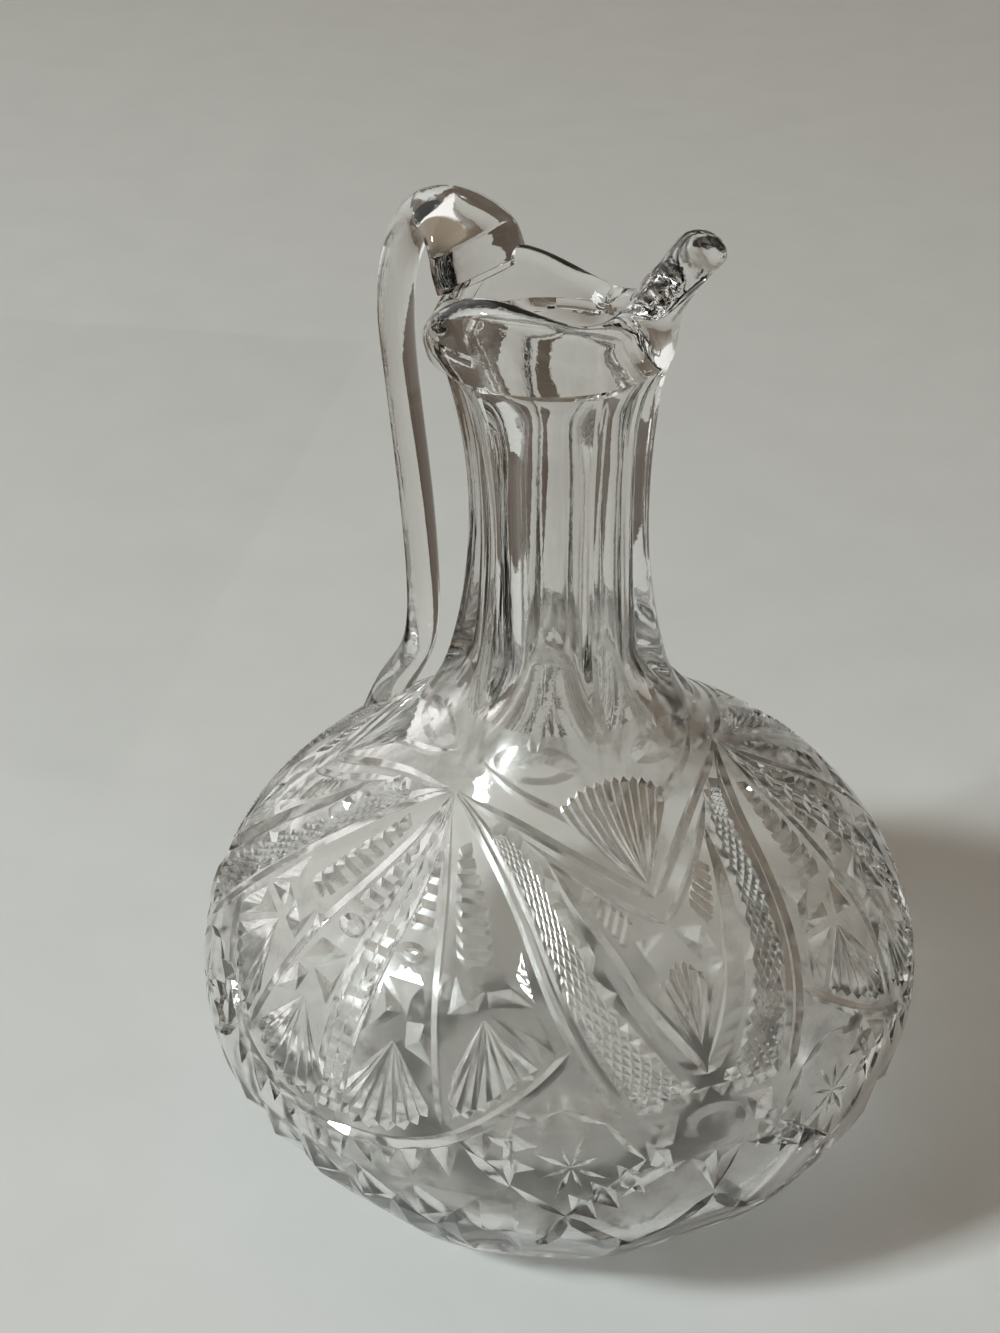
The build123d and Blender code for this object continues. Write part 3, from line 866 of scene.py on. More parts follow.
def underside(size, rim):
    """The flat ring, the recess and its star of rays, inside the base's edge."""
    points = [tuple(point[:2]) for point in rim]
    edges = [(index, (index + 1) % len(rim)) for index in range(len(rim))]
    for radius in (size.recess_radius + 0.15, size.recess_radius - 0.15):
        start = len(points)
        steps = 96
        for index in range(steps):
            angle = 2 * math.pi * index / steps
            points.append((radius * math.cos(angle), radius * math.sin(angle)))
            edges.append((start + index, start + (index + 1) % steps))
    reach, ray_half, ray_deep = size.recess_radius * 0.92, 0.9, 0.7
    widest = reach * 0.55
    for index in range(STAR_RAYS):
        angle = 2 * math.pi * index / STAR_RAYS
        turn = np.array([[math.cos(angle), -math.sin(angle)], [math.sin(angle), math.cos(angle)]])
        local = [(ray_half, 0.0), (widest, ray_half), (reach, 0.0), (widest, -ray_half), (widest, 0.0)]
        corners = [turn @ np.array(corner) for corner in local]
        start = len(points)
        points += [tuple(corner) for corner in corners]
        for first, second in ((0, 1), (1, 2), (2, 3), (3, 0), (4, 0), (4, 1), (4, 2), (4, 3)):
            edges.append((start + first, start + second))
    for radius in np.arange(1.5, size.base_radius - 1.0, 1.5):
        count = int(2 * math.pi * radius / 1.6)
        for index in range(count):
            angle = 2 * math.pi * (index + 0.5) / count
            points.append((radius * math.cos(angle), radius * math.sin(angle)))
    made = delaunay_2d_cdt([Vector(point) for point in points], edges, [], 0, 1e-5, False)
    flat = np.array([tuple(vertex) for vertex in made[0]])
    radius = np.hypot(flat[:, 0], flat[:, 1])
    height = np.where(radius < size.recess_radius, size.recess_depth, 0.0)
    angle = np.arctan2(flat[:, 1], flat[:, 0])
    pitch = 2 * math.pi / STAR_RAYS
    away = (np.mod(angle + pitch / 2, pitch) - pitch / 2) * radius
    along = np.cos(away / np.maximum(radius, 1e-6)) * radius
    half = np.where(
        along < widest,
        ray_half * (along - ray_half) / (widest - ray_half),
        ray_half * (reach - along) / (reach - widest),
    )
    ray = np.clip(half - np.abs(away), 0.0, 1.0) / ray_half * ray_deep
    height = height + np.where(radius < size.recess_radius - 0.2, ray, 0.0)
    triangles = []
    for face in made[2]:
        for index in range(1, len(face) - 1):
            triangles.append((face[0], face[index + 1], face[index]))
    triangles = np.array(triangles)
    middle = flat[triangles].mean(axis=1)
    ring_angle = np.mod(np.arctan2(rim[:, 1], rim[:, 0]), 2 * math.pi)
    order = np.argsort(ring_angle)
    edge = np.interp(
        np.mod(np.arctan2(middle[:, 1], middle[:, 0]), 2 * math.pi),
        ring_angle[order],
        np.hypot(rim[:, 0], rim[:, 1])[order],
        period=2 * math.pi,
    )
    keep = np.hypot(middle[:, 0], middle[:, 1]) < edge + 0.02
    return np.column_stack([flat, height]), triangles[keep]


def rim_shape(azimuth):
    """Outer radius and top height of the rim at an azimuth: three lobes and a raised spout."""
    degrees = np.mod(np.degrees(azimuth), 360.0)
    away = np.minimum(degrees, 360.0 - degrees)
    spout = np.exp(-((away / 25.0) ** 2))
    pad = np.exp(-(((degrees - 141.0) / 30.0) ** 2))
    radius = 12.7 + 0.35 * np.cos(3 * azimuth) + 1.5 * (1 - np.cos(azimuth)) / 2 + 4.3 * spout
    height = 111.4 + 1.9 * np.cos(3 * azimuth) + 1.0 * np.cos(azimuth)
    height = height + 4.7 * spout + 1.8 * pad - 2.1 * np.sin(azimuth)
    return radius, height, spout


def inner_line(size, outline):
    """The inside profile from the throat down to the floor's edge."""

    def wall_point(height):
        step = 0.5
        slope = (outline.radius(height) - outline.radius(height - step)) / step
        share = size.wall / math.sqrt(1 + slope**2)
        return (float(outline.radius(height) - share), float(height + slope * share))

    middle = (size.shoulder_height + size.root_height) / 2
    cavity = fair_curve(
        [
            (size.floor_radius, size.floor_height),
            wall_point(size.haunch_height),
            wall_point(size.belly_height),
            wall_point(size.shoulder_height),
            wall_point(middle),
            wall_point(size.root_height),
            (size.bore_radius, THROAT_FOOT),
        ],
        (1.0, 0.05),
        (0.0, 1.0),
        10,
    )
    throat = fair_curve([(size.bore_radius, THROAT_TOP), THROAT_MOUTH], (0.0, 1.0), (0.35, 1.0), 10)
    return throat[::-1], cavity[::-1]


def upper_rows(size, outline, rim):
    """Rings of points from the tile's top, over the lip and down the inside to the floor."""
    azimuth = np.mod(np.arctan2(rim[:, 1], rim[:, 0]), 2 * math.pi)
    rows = [rim]
    start = float(np.mean(rim[:, 2]))
    scoop = FLUTE_SCOOP
    heights = np.linspace(start, size.collar_height - scoop, 34)[1:]
    scooped = size.collar_height - scoop * np.cos(np.linspace(0.14, 1.0, 9) * math.pi / 2)
    heights = np.concatenate([heights, scooped])
    for height in heights:
        ring = outline.place(azimuth, np.full(len(azimuth), float(outline.reach(height))))
        share = max(0.0, 1 - (size.collar_height - height) / scoop)
        share = 1 - math.sqrt(max(0.0, 1 - share * share))
        collar = COLLAR_EDGE - size.collar_shift * np.cos(azimuth)
        away = np.hypot(ring[:, 0], ring[:, 1])
        grown = away + (collar - away) * share * 0.96
        ring[:, 0] = grown * np.cos(azimuth)
        ring[:, 1] = grown * np.sin(azimuth)
        rows.append(ring)
    radius, top, spout = rim_shape(azimuth)
    wall = size.lip_wall * (1 + 0.55 * spout)
    half = wall / 2
    rise = top - size.collar_height
    root = COLLAR_EDGE - size.collar_shift * np.cos(azimuth)
    draw = blend(0.45, 0.16, spout)
    outer = [
        (root, np.full_like(root, size.collar_height)),
        (blend(root, radius, draw) + 0.25, size.collar_height + rise * 0.42),
        (radius, top - half),
    ]
    inner = [
        (radius - wall, top - half * 0.9),
        (blend(root, radius, draw) - wall, size.collar_height + rise * 0.4),
        tuple(np.full_like(root, value) for value in THROAT_MOUTH),
    ]

    def ring(distance, height):
        return np.stack([distance * np.cos(azimuth), distance * np.sin(azimuth), height], axis=-1)

    def swept(section, steps):
        line = [
            fair_curve([(part[0][index], part[1][index]) for part in section], steps=steps)
            for index in range(len(azimuth))
        ]
        line = np.array(line)
        return [ring(line[:, step, 0], line[:, step, 1]) for step in range(line.shape[1])]

    rows += swept(outer, 8)
    crown_steps = 18
    for step in range(1, crown_steps):
        angle = math.pi * step / crown_steps
        distance = radius - half + half * math.cos(angle)
        height = blend(top - half, top - half * 0.9, step / crown_steps) + half * 0.93 * math.sin(angle)
        rows.append(ring(distance, height))
    rows += swept(inner, 8)
    throat, cavity = inner_line(size, outline)
    for distance, height in throat[1:]:
        rows.append(ring(np.full_like(root, distance), np.full_like(root, height)))
    for height in (88.0, 82.0, 76.0):
        rows.append(ring(np.full_like(root, size.bore_radius), np.full_like(root, height)))
    for distance, height in cavity:
        rows.append(ring(np.full_like(root, distance), np.full_like(root, height)))
    for distance in (18.0, 13.0, 8.0, 3.5):
        rows.append(ring(np.full_like(root, distance), np.full_like(root, size.floor_height)))
    return rows


def joined(parts):
    """One mesh from several, with the points that coincide merged."""
    points = np.concatenate([part[0] for part in parts])
    offset = 0
    triangles = []
    for part in parts:
        triangles.append(part[1] + offset)
        offset += len(part[0])
    triangles = np.concatenate(triangles)
    _, first, inverse = np.unique(np.round(points, 3), axis=0, return_index=True, return_inverse=True)
    inverse = inverse.reshape(-1)
    triangles = inverse[triangles]
    good = (
        (triangles[:, 0] != triangles[:, 1])
        & (triangles[:, 1] != triangles[:, 2])
        & (triangles[:, 0] != triangles[:, 2])
    )
    return points[first], triangles[good]


def bands(rings, count):
    """Triangles between neighbouring closed rings of points, numbered ring by ring."""
    steps = np.arange(count)
    after = (steps + 1) % count
    triangles = []
    for index in range(rings - 1):
        low, high = index * count, (index + 1) * count
        triangles.append(np.stack([low + steps, low + after, high + after], axis=1))
        triangles.append(np.stack([low + steps, high + after, high + steps], axis=1))
    return triangles


def vessel_surface(size, depths):
    """The jug's whole closed surface as points and triangles, in millimetres."""
    outline = Outline(size)
    tile_points, tile_triangles, low_rim, high_rim = outer_tiles(size, depths, outline)
    base = underside(size, low_rim)
    rows = upper_rows(size, outline, high_rim)
    count = len(high_rim)
    points = np.concatenate([*rows, [[0.0, 0.0, size.floor_height]]])
    triangles = bands(len(rows), count)
    last = (len(rows) - 1) * count + np.arange(count)
    triangles.append(np.stack([last, np.roll(last, -1), np.full(count, len(points) - 1)], axis=1))
    upper = (points, np.concatenate(triangles))
    return joined([(tile_points, tile_triangles), base, upper])


def mesh_from(name, points, triangles):
    """A Blender mesh from points in millimetres."""
    mesh = bpy.data.meshes.new(name)
    mesh.from_pydata((points * MM).tolist(), [], triangles.tolist())
    mesh.validate()
    mesh.update()
    return mesh


def settle(name, mesh):
    """An object for a finished mesh, at the origin."""
    piece = bpy.data.objects.new(name, mesh)
    bpy.context.scene.collection.objects.link(piece)
    return piece


def only(piece):
    """Select one object alone and make it active."""
    bpy.ops.object.select_all(action="DESELECT")
    piece.select_set(True)
    bpy.context.view_layer.objects.active = piece


def part_at(piece, height, keep_above):
    """Cut a piece at a height, close it there and keep one side."""
    only(piece)
    bpy.ops.object.mode_set(mode="EDIT")
    bpy.ops.mesh.select_all(action="SELECT")
    bpy.ops.mesh.bisect(
        plane_co=(0, 0, height * MM),
        plane_no=(0, 0, 1),
        use_fill=True,
        clear_inner=keep_above,
        clear_outer=not keep_above,
        threshold=1e-7,
    )
    bpy.ops.mesh.select_all(action="SELECT")
    bpy.ops.mesh.normals_make_consistent(inside=False)
    bpy.ops.object.mode_set(mode="OBJECT")
    mesh = piece.data
    heights = np.empty(len(mesh.vertices) * 3)
    mesh.vertices.foreach_get("co", heights)
    at_cut = np.abs(heights[2::3] - height * MM) < 1e-6
    for polygon in mesh.polygons:
        if abs(polygon.normal.z) > 0.99 and all(at_cut[index] for index in polygon.vertices):
            polygon.material_index = JOIN
            polygon.use_smooth = False


class CRUET_OT_body(bpy.types.Operator):
    """Make the foot, bulb, neck and lip as one glass surface, parted where the CAD nodes meet"""

    bl_idname = "cruet.body"
    bl_label = "Foot, bulb, neck and lip"

    def execute(self, context):
        scene = context.scene
        finish = scene.cruet_finish
        size = sizes(scene.cruet_vessel)
        points, triangles = vessel_surface(size, sizes(scene.cruet_pattern))
        mesh = mesh_from("whole_glass", points, triangles)
        whole = settle("whole_glass", mesh)
        only(whole)
        bpy.ops.object.mode_set(mode="EDIT")
        bpy.ops.mesh.select_all(action="SELECT")
        bpy.ops.mesh.remove_doubles(threshold=3e-6)
        bpy.ops.object.mode_set(mode="OBJECT")
        mesh.materials.append(clear_glass(finish, "clear_glass_fire_polished", 0.0))
        mesh.materials.append(clear_glass(finish, "clear_glass_inside_film", finish.film))
        mesh.materials.append(clear_join())
        cavity = inner_line(size, Outline(size))[1][::-1]
        for polygon in mesh.polygons:
            polygon.use_smooth = True
            centre = polygon.center / MM
            if size.floor_height - 0.01 < centre.z < 62.0:
                inside = np.interp(centre.z, cavity[:, 1], cavity[:, 0])
                polygon.material_index = FILM if math.hypot(centre.x, centre.y) < inside + 0.4 else 0
        levels = (None, size.foot_height, size.root_height, size.collar_height - 0.02, None)
        pieces = (
            ("foot_glass", "star_foot"),
            ("bulb_glass", "pressed_bulb"),
            ("neck_glass", "fluted_neck"),
            ("lip_glass", "pouring_lip"),
        )
        for index, (name, node) in enumerate(pieces):
            piece = settle(name, mesh.copy())
            piece.data.name = name
            if levels[index] is not None:
                part_at(piece, levels[index], True)
            if levels[index + 1] is not None:
                part_at(piece, levels[index + 1], False)
            crease = SOFT_CREASE_ANGLE if name == "lip_glass" else CREASE_ANGLE
            piece.data.set_sharp_from_angle(angle=crease)
            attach(piece, "root")
            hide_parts(node)
        bpy.data.objects.remove(whole)
        bpy.data.meshes.remove(mesh)
        return {"FINISHED"}


def inside_tree(tree, point):
    """Whether a point lies inside a closed mesh, by counting the faces above it."""
    start = Vector(point)
    direction = Vector((0.0131, 0.0217, 1.0)).normalized()
    count = 0
    for _ in range(40):
        hit, _, _, _ = tree.ray_cast(start, direction)
        if hit is None:
            break
        count += 1
        start = hit + direction * 1e-6
    return count % 2 == 1


def tree_and_box(piece):
    """A search tree of a piece's faces, and the corners of its box."""
    places = np.array([vertex.co[:] for vertex in piece.data.vertices])
    tree = BVHTree.FromPolygons(places.tolist(), [tuple(face.vertices) for face in piece.data.polygons])
    return tree, places.min(axis=0), places.max(axis=0)


def inside_flags(places, tree, low, high):
    """Which of the places lie inside another piece."""
    near = np.all((places > low) & (places < high), axis=1)
    return np.array([bool(close and inside_tree(tree, place)) for close, place in zip(near, places)])


def refine_border(piece, tree, low, high, cuts):
    """Divide the faces that another piece's surface crosses, so that the border comes out fine."""
    flags = inside_flags(np.array([vertex.co[:] for vertex in piece.data.vertices]), tree, low, high)
    only(piece)
    bpy.ops.object.mode_set(mode="EDIT")
    bpy.ops.mesh.select_all(action="DESELECT")
    bpy.ops.object.mode_set(mode="OBJECT")
    crossed = 0
    for face in piece.data.polygons:
        within = [flags[index] for index in face.vertices]
        if any(within) and not all(within):
            face.select = True
            crossed += 1
    bpy.ops.object.mode_set(mode="EDIT")
    bpy.ops.mesh.select_mode(type="FACE")
    bpy.ops.mesh.subdivide(number_cuts=cuts)
    bpy.ops.mesh.select_all(action="SELECT")
    bpy.ops.mesh.quads_convert_to_tris()
    bpy.ops.mesh.dissolve_degenerate(threshold=1e-7)
    bpy.ops.mesh.select_all(action="DESELECT")
    bpy.ops.object.mode_set(mode="OBJECT")
    return crossed


def fuse(first, second):
    """Clear the faces of each piece that lie inside the other, as in fused glass."""
    solids = {first: tree_and_box(second), second: tree_and_box(first)}
    for piece, solid in solids.items():
        for cuts in (3, 2):
            if not refine_border(piece, *solid, cuts):
                break
        centres = np.array([face.center[:] for face in piece.data.polygons])
        for face, covered in zip(piece.data.polygons, inside_flags(centres, *solid)):
            if covered:
                face.material_index = JOIN


class CRUET_OT_fuse(bpy.types.Operator):
    """Fuse the handle's ends to the lip, neck and bulb"""

    bl_idname = "cruet.fuse"
    bl_label = "Fuse the handle"

    def execute(self, context):
        handle = bpy.data.objects["handle_glass"]
        for name in ("bulb_glass", "neck_glass", "lip_glass"):
            fuse(handle, bpy.data.objects[name])
        return {"FINISHED"}


class Socket:
    """A shader value that takes part in sums."""

    def __init__(self, maker, socket):
        self.maker = maker
        self.socket = socket

    def combine(self, operation, *values):
        """One Math node on values."""
        return self.maker.node("ShaderNodeMath", {"operation": operation}, list(values))

    def __add__(self, other):
        return self.combine("ADD", self, other)

    __radd__ = __add__

    def __mul__(self, other):
        return self.combine("MULTIPLY", self, other)

    __rmul__ = __mul__

    def __sub__(self, other):
        return self.combine("SUBTRACT", self, other)

    def __rsub__(self, other):
        return self.combine("SUBTRACT", other, self)


class Shader:
    """Makes the nodes of one material or world."""

    def __init__(self, tree):
        self.tree = tree
        tree.nodes.clear()

    def node(self, kind, settings=None, inputs=None, output=0):
        """A node with its settings and its sockets' values or links; gives one output."""
        made = self.tree.nodes.new(kind)
        for name, value in (settings or {}).items():
            if name == "stops":
                ramp = made.color_ramp
                while len(ramp.elements) < len(value):
                    ramp.elements.new(0.5)
                for element, (position, colour) in zip(ramp.elements, value):
                    element.position = position
                    element.color = (*colour, 1.0)
            else:
                setattr(made, name, value)
        pairs = inputs.items() if isinstance(inputs, dict) else enumerate(inputs or [])
        for name, value in pairs:
            if isinstance(value, Socket):
                self.tree.links.new(value.socket, made.inputs[name])
            else:
                made.inputs[name].default_value = value
        return Socket(self, made.outputs[output]) if made.outputs else None


def clear_glass(finish, name, film):
    """Colourless pressed glass with faint waves; film is the share of dried film on its surface."""
    material = bpy.data.materials.new(name)
    material.use_nodes = True
    shader = Shader(material.node_tree)
    place = shader.node("ShaderNodeTexCoord", output="Object")
    waves = shader.node(
        "ShaderNodeTexNoise", {}, {"Vector": place, "Scale": 140.0, "Detail": 2.0, "Roughness": 0.45}
    )
    grain = shader.node("ShaderNodeTexNoise", {}, {"Vector": place, "Scale": 900.0, "Detail": 3.0})
    height = waves * 0.8 + grain * 0.2
    bump = shader.node(
        "ShaderNodeBump", {}, {"Strength": 0.12, "Distance": 0.0006, "Height": height}
    )
    haze = shader.node(
        "ShaderNodeMapRange", {}, {"Value": grain, 1: 0.35, 2: 0.75, 3: 0.8 * film, 4: 0.05 + 1.2 * film}
    )
    glass = shader.node(
        "ShaderNodeBsdfPrincipled",
        {},
        {
            "Base Color": (*finish.glass_colour, 1.0),
            "Roughness": haze,
            "IOR": 1.51,
            "Transmission Weight": 1.0,
            "Normal": bump,
        },
    )
    if film:
        dried = shader.node("ShaderNodeBsdfDiffuse", {}, {"Color": (0.78, 0.76, 0.71, 1.0)})
        cover = shader.node("ShaderNodeMapRange", {}, {"Value": waves, 1: 0.3, 2: 0.7, 3: 0.05, 4: 0.11})
        glass = shader.node("ShaderNodeMixShader", {}, [cover, glass, dried])
    light_path = shader.node("ShaderNodeLightPath", output="Is Shadow Ray")
    through = shader.node("ShaderNodeBsdfTransparent", {}, {"Color": (0.97, 0.965, 0.95, 1.0)})
    surface = shader.node("ShaderNodeMixShader", {}, [light_path * finish.shadow_light, glass, through])
    shader.node("ShaderNodeOutputMaterial", {}, {"Surface": surface})
    return material


def clear_join():
    """Glass running on into glass: nothing to see."""
    material = bpy.data.materials.new("glass_join")
    material.use_nodes = True
    shader = Shader(material.node_tree)
    surface = shader.node(
        "ShaderNodeBsdfPrincipled",
        {},
        {"Base Color": (0.86, 0.86, 0.84, 1.0), "Roughness": 0.1, "Alpha": 0.0},
    )
    shader.node("ShaderNodeOutputMaterial", {}, {"Surface": surface})
    return material


def plain(name, colour, roughness):
    """A plain matt surface with a faint mottle."""
    material = bpy.data.materials.new(name)
    material.use_nodes = True
    shader = Shader(material.node_tree)
    place = shader.node("ShaderNodeTexCoord", output="Object")
    mottle = shader.node("ShaderNodeTexNoise", {}, {"Vector": place, "Scale": 60.0, "Detail": 4.0})
    tone = shader.node(
        "ShaderNodeValToRGB",
        {"stops": [(0.3, tuple(0.96 * part for part in colour)), (0.7, colour)]},
        {"Fac": mottle},
    )
    surface = shader.node(
        "ShaderNodeBsdfPrincipled", {}, {"Base Color": tone, "Roughness": roughness}
    )
    shader.node("ShaderNodeOutputMaterial", {}, {"Surface": surface})
    return material


def handle_line(size):
    """Stations of the handle: centre, width and thickness, in millimetres."""
    pad = math.degrees(size.pad_azimuth)
    rim, rim_top, _ = rim_shape(np.array(math.radians(pad)))
    rim, rim_top = float(rim), float(rim_top)
    top, reach = size.top_height, size.reach
    width, thick = size.stem_width, size.stem_thickness
    landing, landing_reach = 47.9, 30.9
    foot = top - 12.0

    def stem(share):
        return blend(landing, foot, share)

    rows = [
        (rim - 1.9, rim_top - 2.4, 12.6, 5.0),
        (rim - 1.4, blend(rim_top - 2.4, top - 2.5, 0.5), 12.6, 5.0),
        (rim - 0.9, top - 2.5, 12.35, 5.0),
        (blend(rim, reach, 0.16), top - 0.5, 10.25, 5.18),
        (blend(rim, reach, 0.5), top - 0.4, 7.73, 4.8),
        (blend(rim, reach, 0.82), top - 4.0, 5.71, 4.03),
        (reach, foot, width * 1.1, thick * 1.05),
        (reach - 0.3, stem(0.87), width, thick),
        (reach - 2.0, stem(0.61), width, thick),
        (reach - 2.9, stem(0.38), width, thick),
        (reach - 1.7, stem(0.21), width * 1.1, thick * 1.02),
        (blend(reach, landing_reach, 0.35), stem(0.093), 5.44, 4.05),
        (landing_reach - 1.4, landing - 0.4, 6.4, 4.4),
    ]
    stations = []
    for index, (distance, height, wide, deep) in enumerate(rows):
        azimuth = math.radians(blend(math.degrees(size.azimuth), pad, max(0.0, 1 - index / 6)))
        x, y = distance * math.cos(azimuth), distance * math.sin(azimuth)
        stations.append((x, y, height, wide, deep, azimuth))
    return fair_curve(stations, steps=8)


class CRUET_OT_handle(bpy.types.Operator):
    """Make the applied loop handle"""

    bl_idname = "cruet.handle"
    bl_label = "Handle"

    def execute(self, context):
        scene = context.scene
        line = handle_line(sizes(scene.cruet_handle))
        around = 40
        rings = []
        for index, (x, y, z, wide, deep, azimuth) in enumerate(line):
            ahead = line[min(index + 1, len(line) - 1), :3] - line[max(index - 1, 0), :3]
            ahead = ahead / np.linalg.norm(ahead)
            across = np.array([-math.sin(azimuth), math.cos(azimuth), 0.0])
            across = across - ahead * across.dot(ahead)
            across = across / np.linalg.norm(across)
            out = np.cross(ahead, across)
            angle = 2 * math.pi * np.arange(around) / around
            rings.append(
                np.array([x, y, z])
                + np.outer(np.cos(angle) * wide / 2, across)
                + np.outer(np.sin(angle) * deep / 2, out)
            )
        points = np.concatenate(rings + [line[:1, :3], line[-1:, :3]])
        triangles = bands(len(rings), around)
        first = np.arange(around)
        last = (len(rings) - 1) * around + first
        triangles.append(np.stack([np.roll(first, -1), first, np.full(around, len(points) - 2)], axis=1))
        triangles.append(np.stack([last, np.roll(last, -1), np.full(around, len(points) - 1)], axis=1))
        mesh = mesh_from("handle_glass", points, np.concatenate(triangles))
        for polygon in mesh.polygons:
            polygon.use_smooth = True
        mesh.set_sharp_from_angle(angle=math.radians(40))
        handle = settle("handle_glass", mesh)
        for name in ("clear_glass_fire_polished", "clear_glass_inside_film", "glass_join"):
            mesh.materials.append(bpy.data.materials[name])
        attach(handle, "root")
        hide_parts("applied_handle")
        return {"FINISHED"}


class CRUET_OT_stage(bpy.types.Operator):
    """Make the table, the lights and the camera"""

    bl_idname = "cruet.stage"
    bl_label = "Table, lights and camera"

    def execute(self, context):
        scene = context.scene
        finish = scene.cruet_finish
        bpy.ops.object.select_all(action="DESELECT")
        bpy.ops.mesh.primitive_plane_add(size=1.3, location=(0, 0.25, 0))
        table = context.object
        table.name = "table"
        table.data.materials.append(plain("table_top", tuple(finish.table_colour), 0.75))
        # Three dark brown sheets on the table, hidden from the camera, from diffuse rays and from shadows:
        # painted dark reflections in the glass, which stand in for the dark room around the table.
        for name, place, wide, deep in (
            ("dark_card_left", (-0.235, -0.06, 0.0004), 0.22, 0.24),
            ("dark_card_back", (-0.205, 0.145, 0.0004), 0.25, 0.17),
            ("dark_card_front", (-0.02, -0.21, 0.0004), 0.30, 0.20),
        ):
            bpy.ops.object.select_all(action="DESELECT")
            bpy.ops.mesh.primitive_plane_add(size=1.0, location=place)
            card = context.object
            card.name = name
            card.scale = (wide, deep, 1.0)
            bpy.ops.object.transform_apply(location=False, rotation=False, scale=True)
            card.data.materials.append(plain(name, (0.075, 0.05, 0.034), 0.6))
            for kind in ("camera", "diffuse", "shadow"):
                setattr(card, "visible_" + kind, False)
        make_lights(scene, finish)
        make_world(scene, finish)
        make_camera(scene)
        scene.view_settings.view_transform = "Standard"
        return {"FINISHED"}


def make_lights(scene, finish):
    """A window high on the left."""
    light = bpy.data.lights.new("window", "AREA")
    light.shape = "SQUARE"
    light.size = WINDOW_SIZE
    light.energy = finish.key_power
    light.color = (0.91, 1.0, 1.0)
    lamp = bpy.data.objects.new("window", light)
    scene.collection.objects.link(lamp)
    lamp.location = WINDOW_PLACE
    lamp.rotation_mode = "QUATERNION"
    lamp.rotation_quaternion = (Vector((0, 0, 0.05)) - Vector(WINDOW_PLACE)).to_track_quat("-Z", "Y")


def make_world(scene, finish):
    """A plain room: brown walls, a dark side towards the front and a bright pane on the left."""
    world = bpy.data.worlds.new("room")
    scene.world = world
    world.use_nodes = True
    shader = Shader(world.node_tree)
    direction = shader.node("ShaderNodeTexCoord", output="Generated")
    height = shader.node("ShaderNodeSeparateXYZ", {}, {"Vector": direction}, 2)
    wall = shader.node(
        "ShaderNodeValToRGB",
        {
            "stops": [
                (0.0, (0.12, 0.095, 0.07)),
                (0.25, (0.16, 0.13, 0.10)),
                (0.55, (0.24, 0.20, 0.15)),
                (1.0, (0.30, 0.25, 0.19)),
            ]
        },
        {"Fac": height},
    )

    def patch(middle, low, high):
        """A soft round patch of the room about a direction."""
        nearness = shader.node(
            "ShaderNodeVectorMath", {"operation": "DOT_PRODUCT"}, [direction, middle], "Value"
        )
        return shader.node(
            "ShaderNodeMapRange", {"interpolation_type": "SMOOTHSTEP"}, {"Value": nearness, 1: low, 2: high}
        )

    def laid_over(share, below, colour):
        """A colour laid over another by a share."""
        return shader.node(
            "ShaderNodeMix", {"data_type": "RGBA"}, {"Factor": share, 6: below, 7: (*colour, 1.0)}, 2
        )

    room = laid_over(patch((0.2, -0.80, 0.57), 0.86, 0.95) * 0.9, wall, (0.035, 0.028, 0.022))
    glossy = shader.node("ShaderNodeLightPath", output="Is Glossy Ray")
    passed = shader.node("ShaderNodeLightPath", output="Is Transmission Ray")
    pane = patch((-0.78, 0.22, 0.58), 0.62, 0.80)
    room = laid_over(pane * (glossy + passed), room, (1.0, 0.99, 0.96))
    light = shader.node("ShaderNodeBackground", {}, {"Color": room, "Strength": finish.room_level})
    shader.node("ShaderNodeOutputWorld", {}, {"Surface": light})


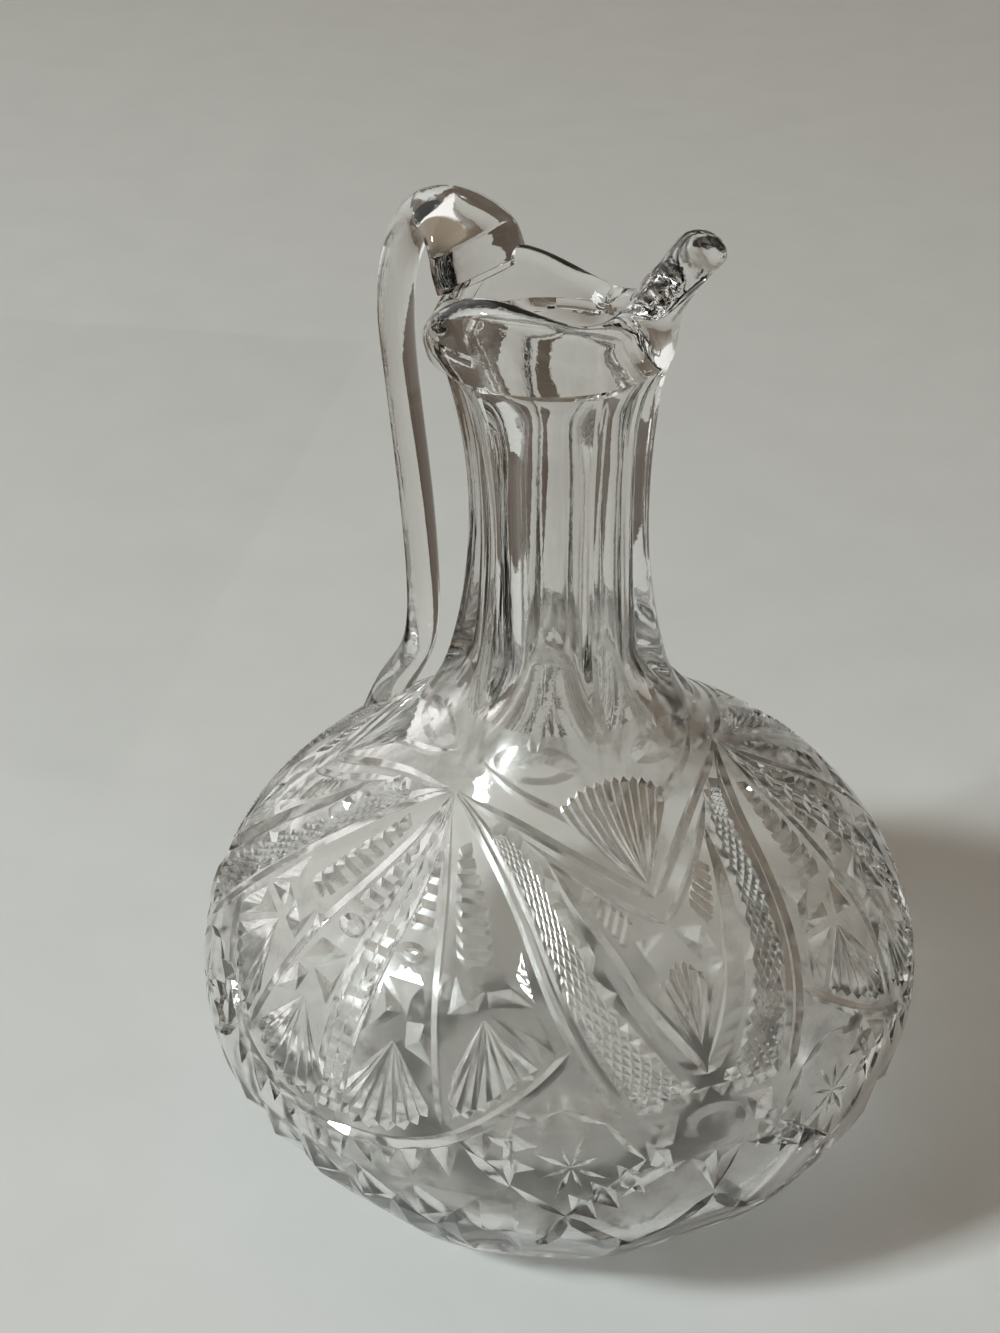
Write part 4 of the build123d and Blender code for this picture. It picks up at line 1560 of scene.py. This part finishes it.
def make_camera(scene):
    """The photograph's viewpoint, from its solved pitch, roll and bearing."""
    frame_wide, frame_tall, focal = 1000.0, 1333.0, 2400.0
    pitch, roll, bearing = math.radians(31.5), math.radians(-0.8), math.radians(9.5)
    sight_x, sight_y, sight_height, distance = 558.0, 950.0, 25.0, 294.0
    heading = bearing
    for _ in range(30):
        ahead = Vector(
            (-math.sin(heading) * math.cos(pitch), math.cos(heading) * math.cos(pitch), -math.sin(pitch))
        )
        right = ahead.cross(Vector((0, 0, 1))).normalized()
        up = right.cross(ahead)
        turned_right = right * math.cos(roll) + up * math.sin(roll)
        turned_up = up * math.cos(roll) - right * math.sin(roll)
        ray = (
            ahead
            + turned_right * ((sight_x - frame_wide / 2) / focal)
            - turned_up * ((sight_y - frame_tall / 2) / focal)
        )
        place = Vector((0, 0, sight_height)) - ray * distance
        seen = math.atan2(place.x, -place.y)
        heading += bearing - seen
    data = bpy.data.cameras.new("camera")
    data.sensor_width = 36.0
    data.lens = 36.0 * focal / frame_tall
    data.clip_start = 0.01
    data.clip_end = 20.0
    camera = bpy.data.objects.new("camera", data)
    scene.collection.objects.link(camera)
    back = -ahead
    camera.matrix_world = Matrix(
        (
            (turned_right.x, turned_up.x, back.x, place.x * MM),
            (turned_right.y, turned_up.y, back.y, place.y * MM),
            (turned_right.z, turned_up.z, back.z, place.z * MM),
            (0, 0, 0, 1),
        )
    )
    scene.camera = camera


class CRUET_PT_panel(bpy.types.Panel):
    """Lists the jug's pieces and sizes"""

    bl_label = "Pressed glass cruet"
    bl_space_type = "VIEW_3D"
    bl_region_type = "UI"
    bl_category = "Cruet"

    def draw(self, context):
        """A button for each group of pieces, then the sizes and colours."""
        for operator in OPERATORS:
            self.layout.operator(operator.bl_idname)
        for name, group in GROUPS.items():
            box = self.layout.box()
            for prop in group.bl_rna.properties:
                if prop.identifier in group.__annotations__:
                    box.prop(getattr(context.scene, name), prop.identifier)


GROUPS = {
    "cruet_vessel": VesselSizes,
    "cruet_pattern": PatternSizes,
    "cruet_handle": HandleSizes,
    "cruet_finish": Finish,
}
OPERATORS = (CRUET_OT_body, CRUET_OT_handle, CRUET_OT_fuse, CRUET_OT_stage)


def register():
    """Add the property groups, operators and panel."""
    for group in GROUPS.values():
        bpy.utils.register_class(group)
    for name, group in GROUPS.items():
        setattr(bpy.types.Scene, name, bpy.props.PointerProperty(type=group))
    for item in (*OPERATORS, CRUET_PT_panel):
        bpy.utils.register_class(item)


def unregister():
    """Take them away again."""
    for item in (*OPERATORS, CRUET_PT_panel):
        bpy.utils.unregister_class(item)
    for name, group in GROUPS.items():
        delattr(bpy.types.Scene, name)
        bpy.utils.unregister_class(group)


def main():
    """Make every piece and the stage."""
    register()
    bpy.ops.cruet.body()
    bpy.ops.cruet.handle()
    bpy.ops.cruet.fuse()
    bpy.ops.cruet.stage()


if __name__ == "__main__":
    main()
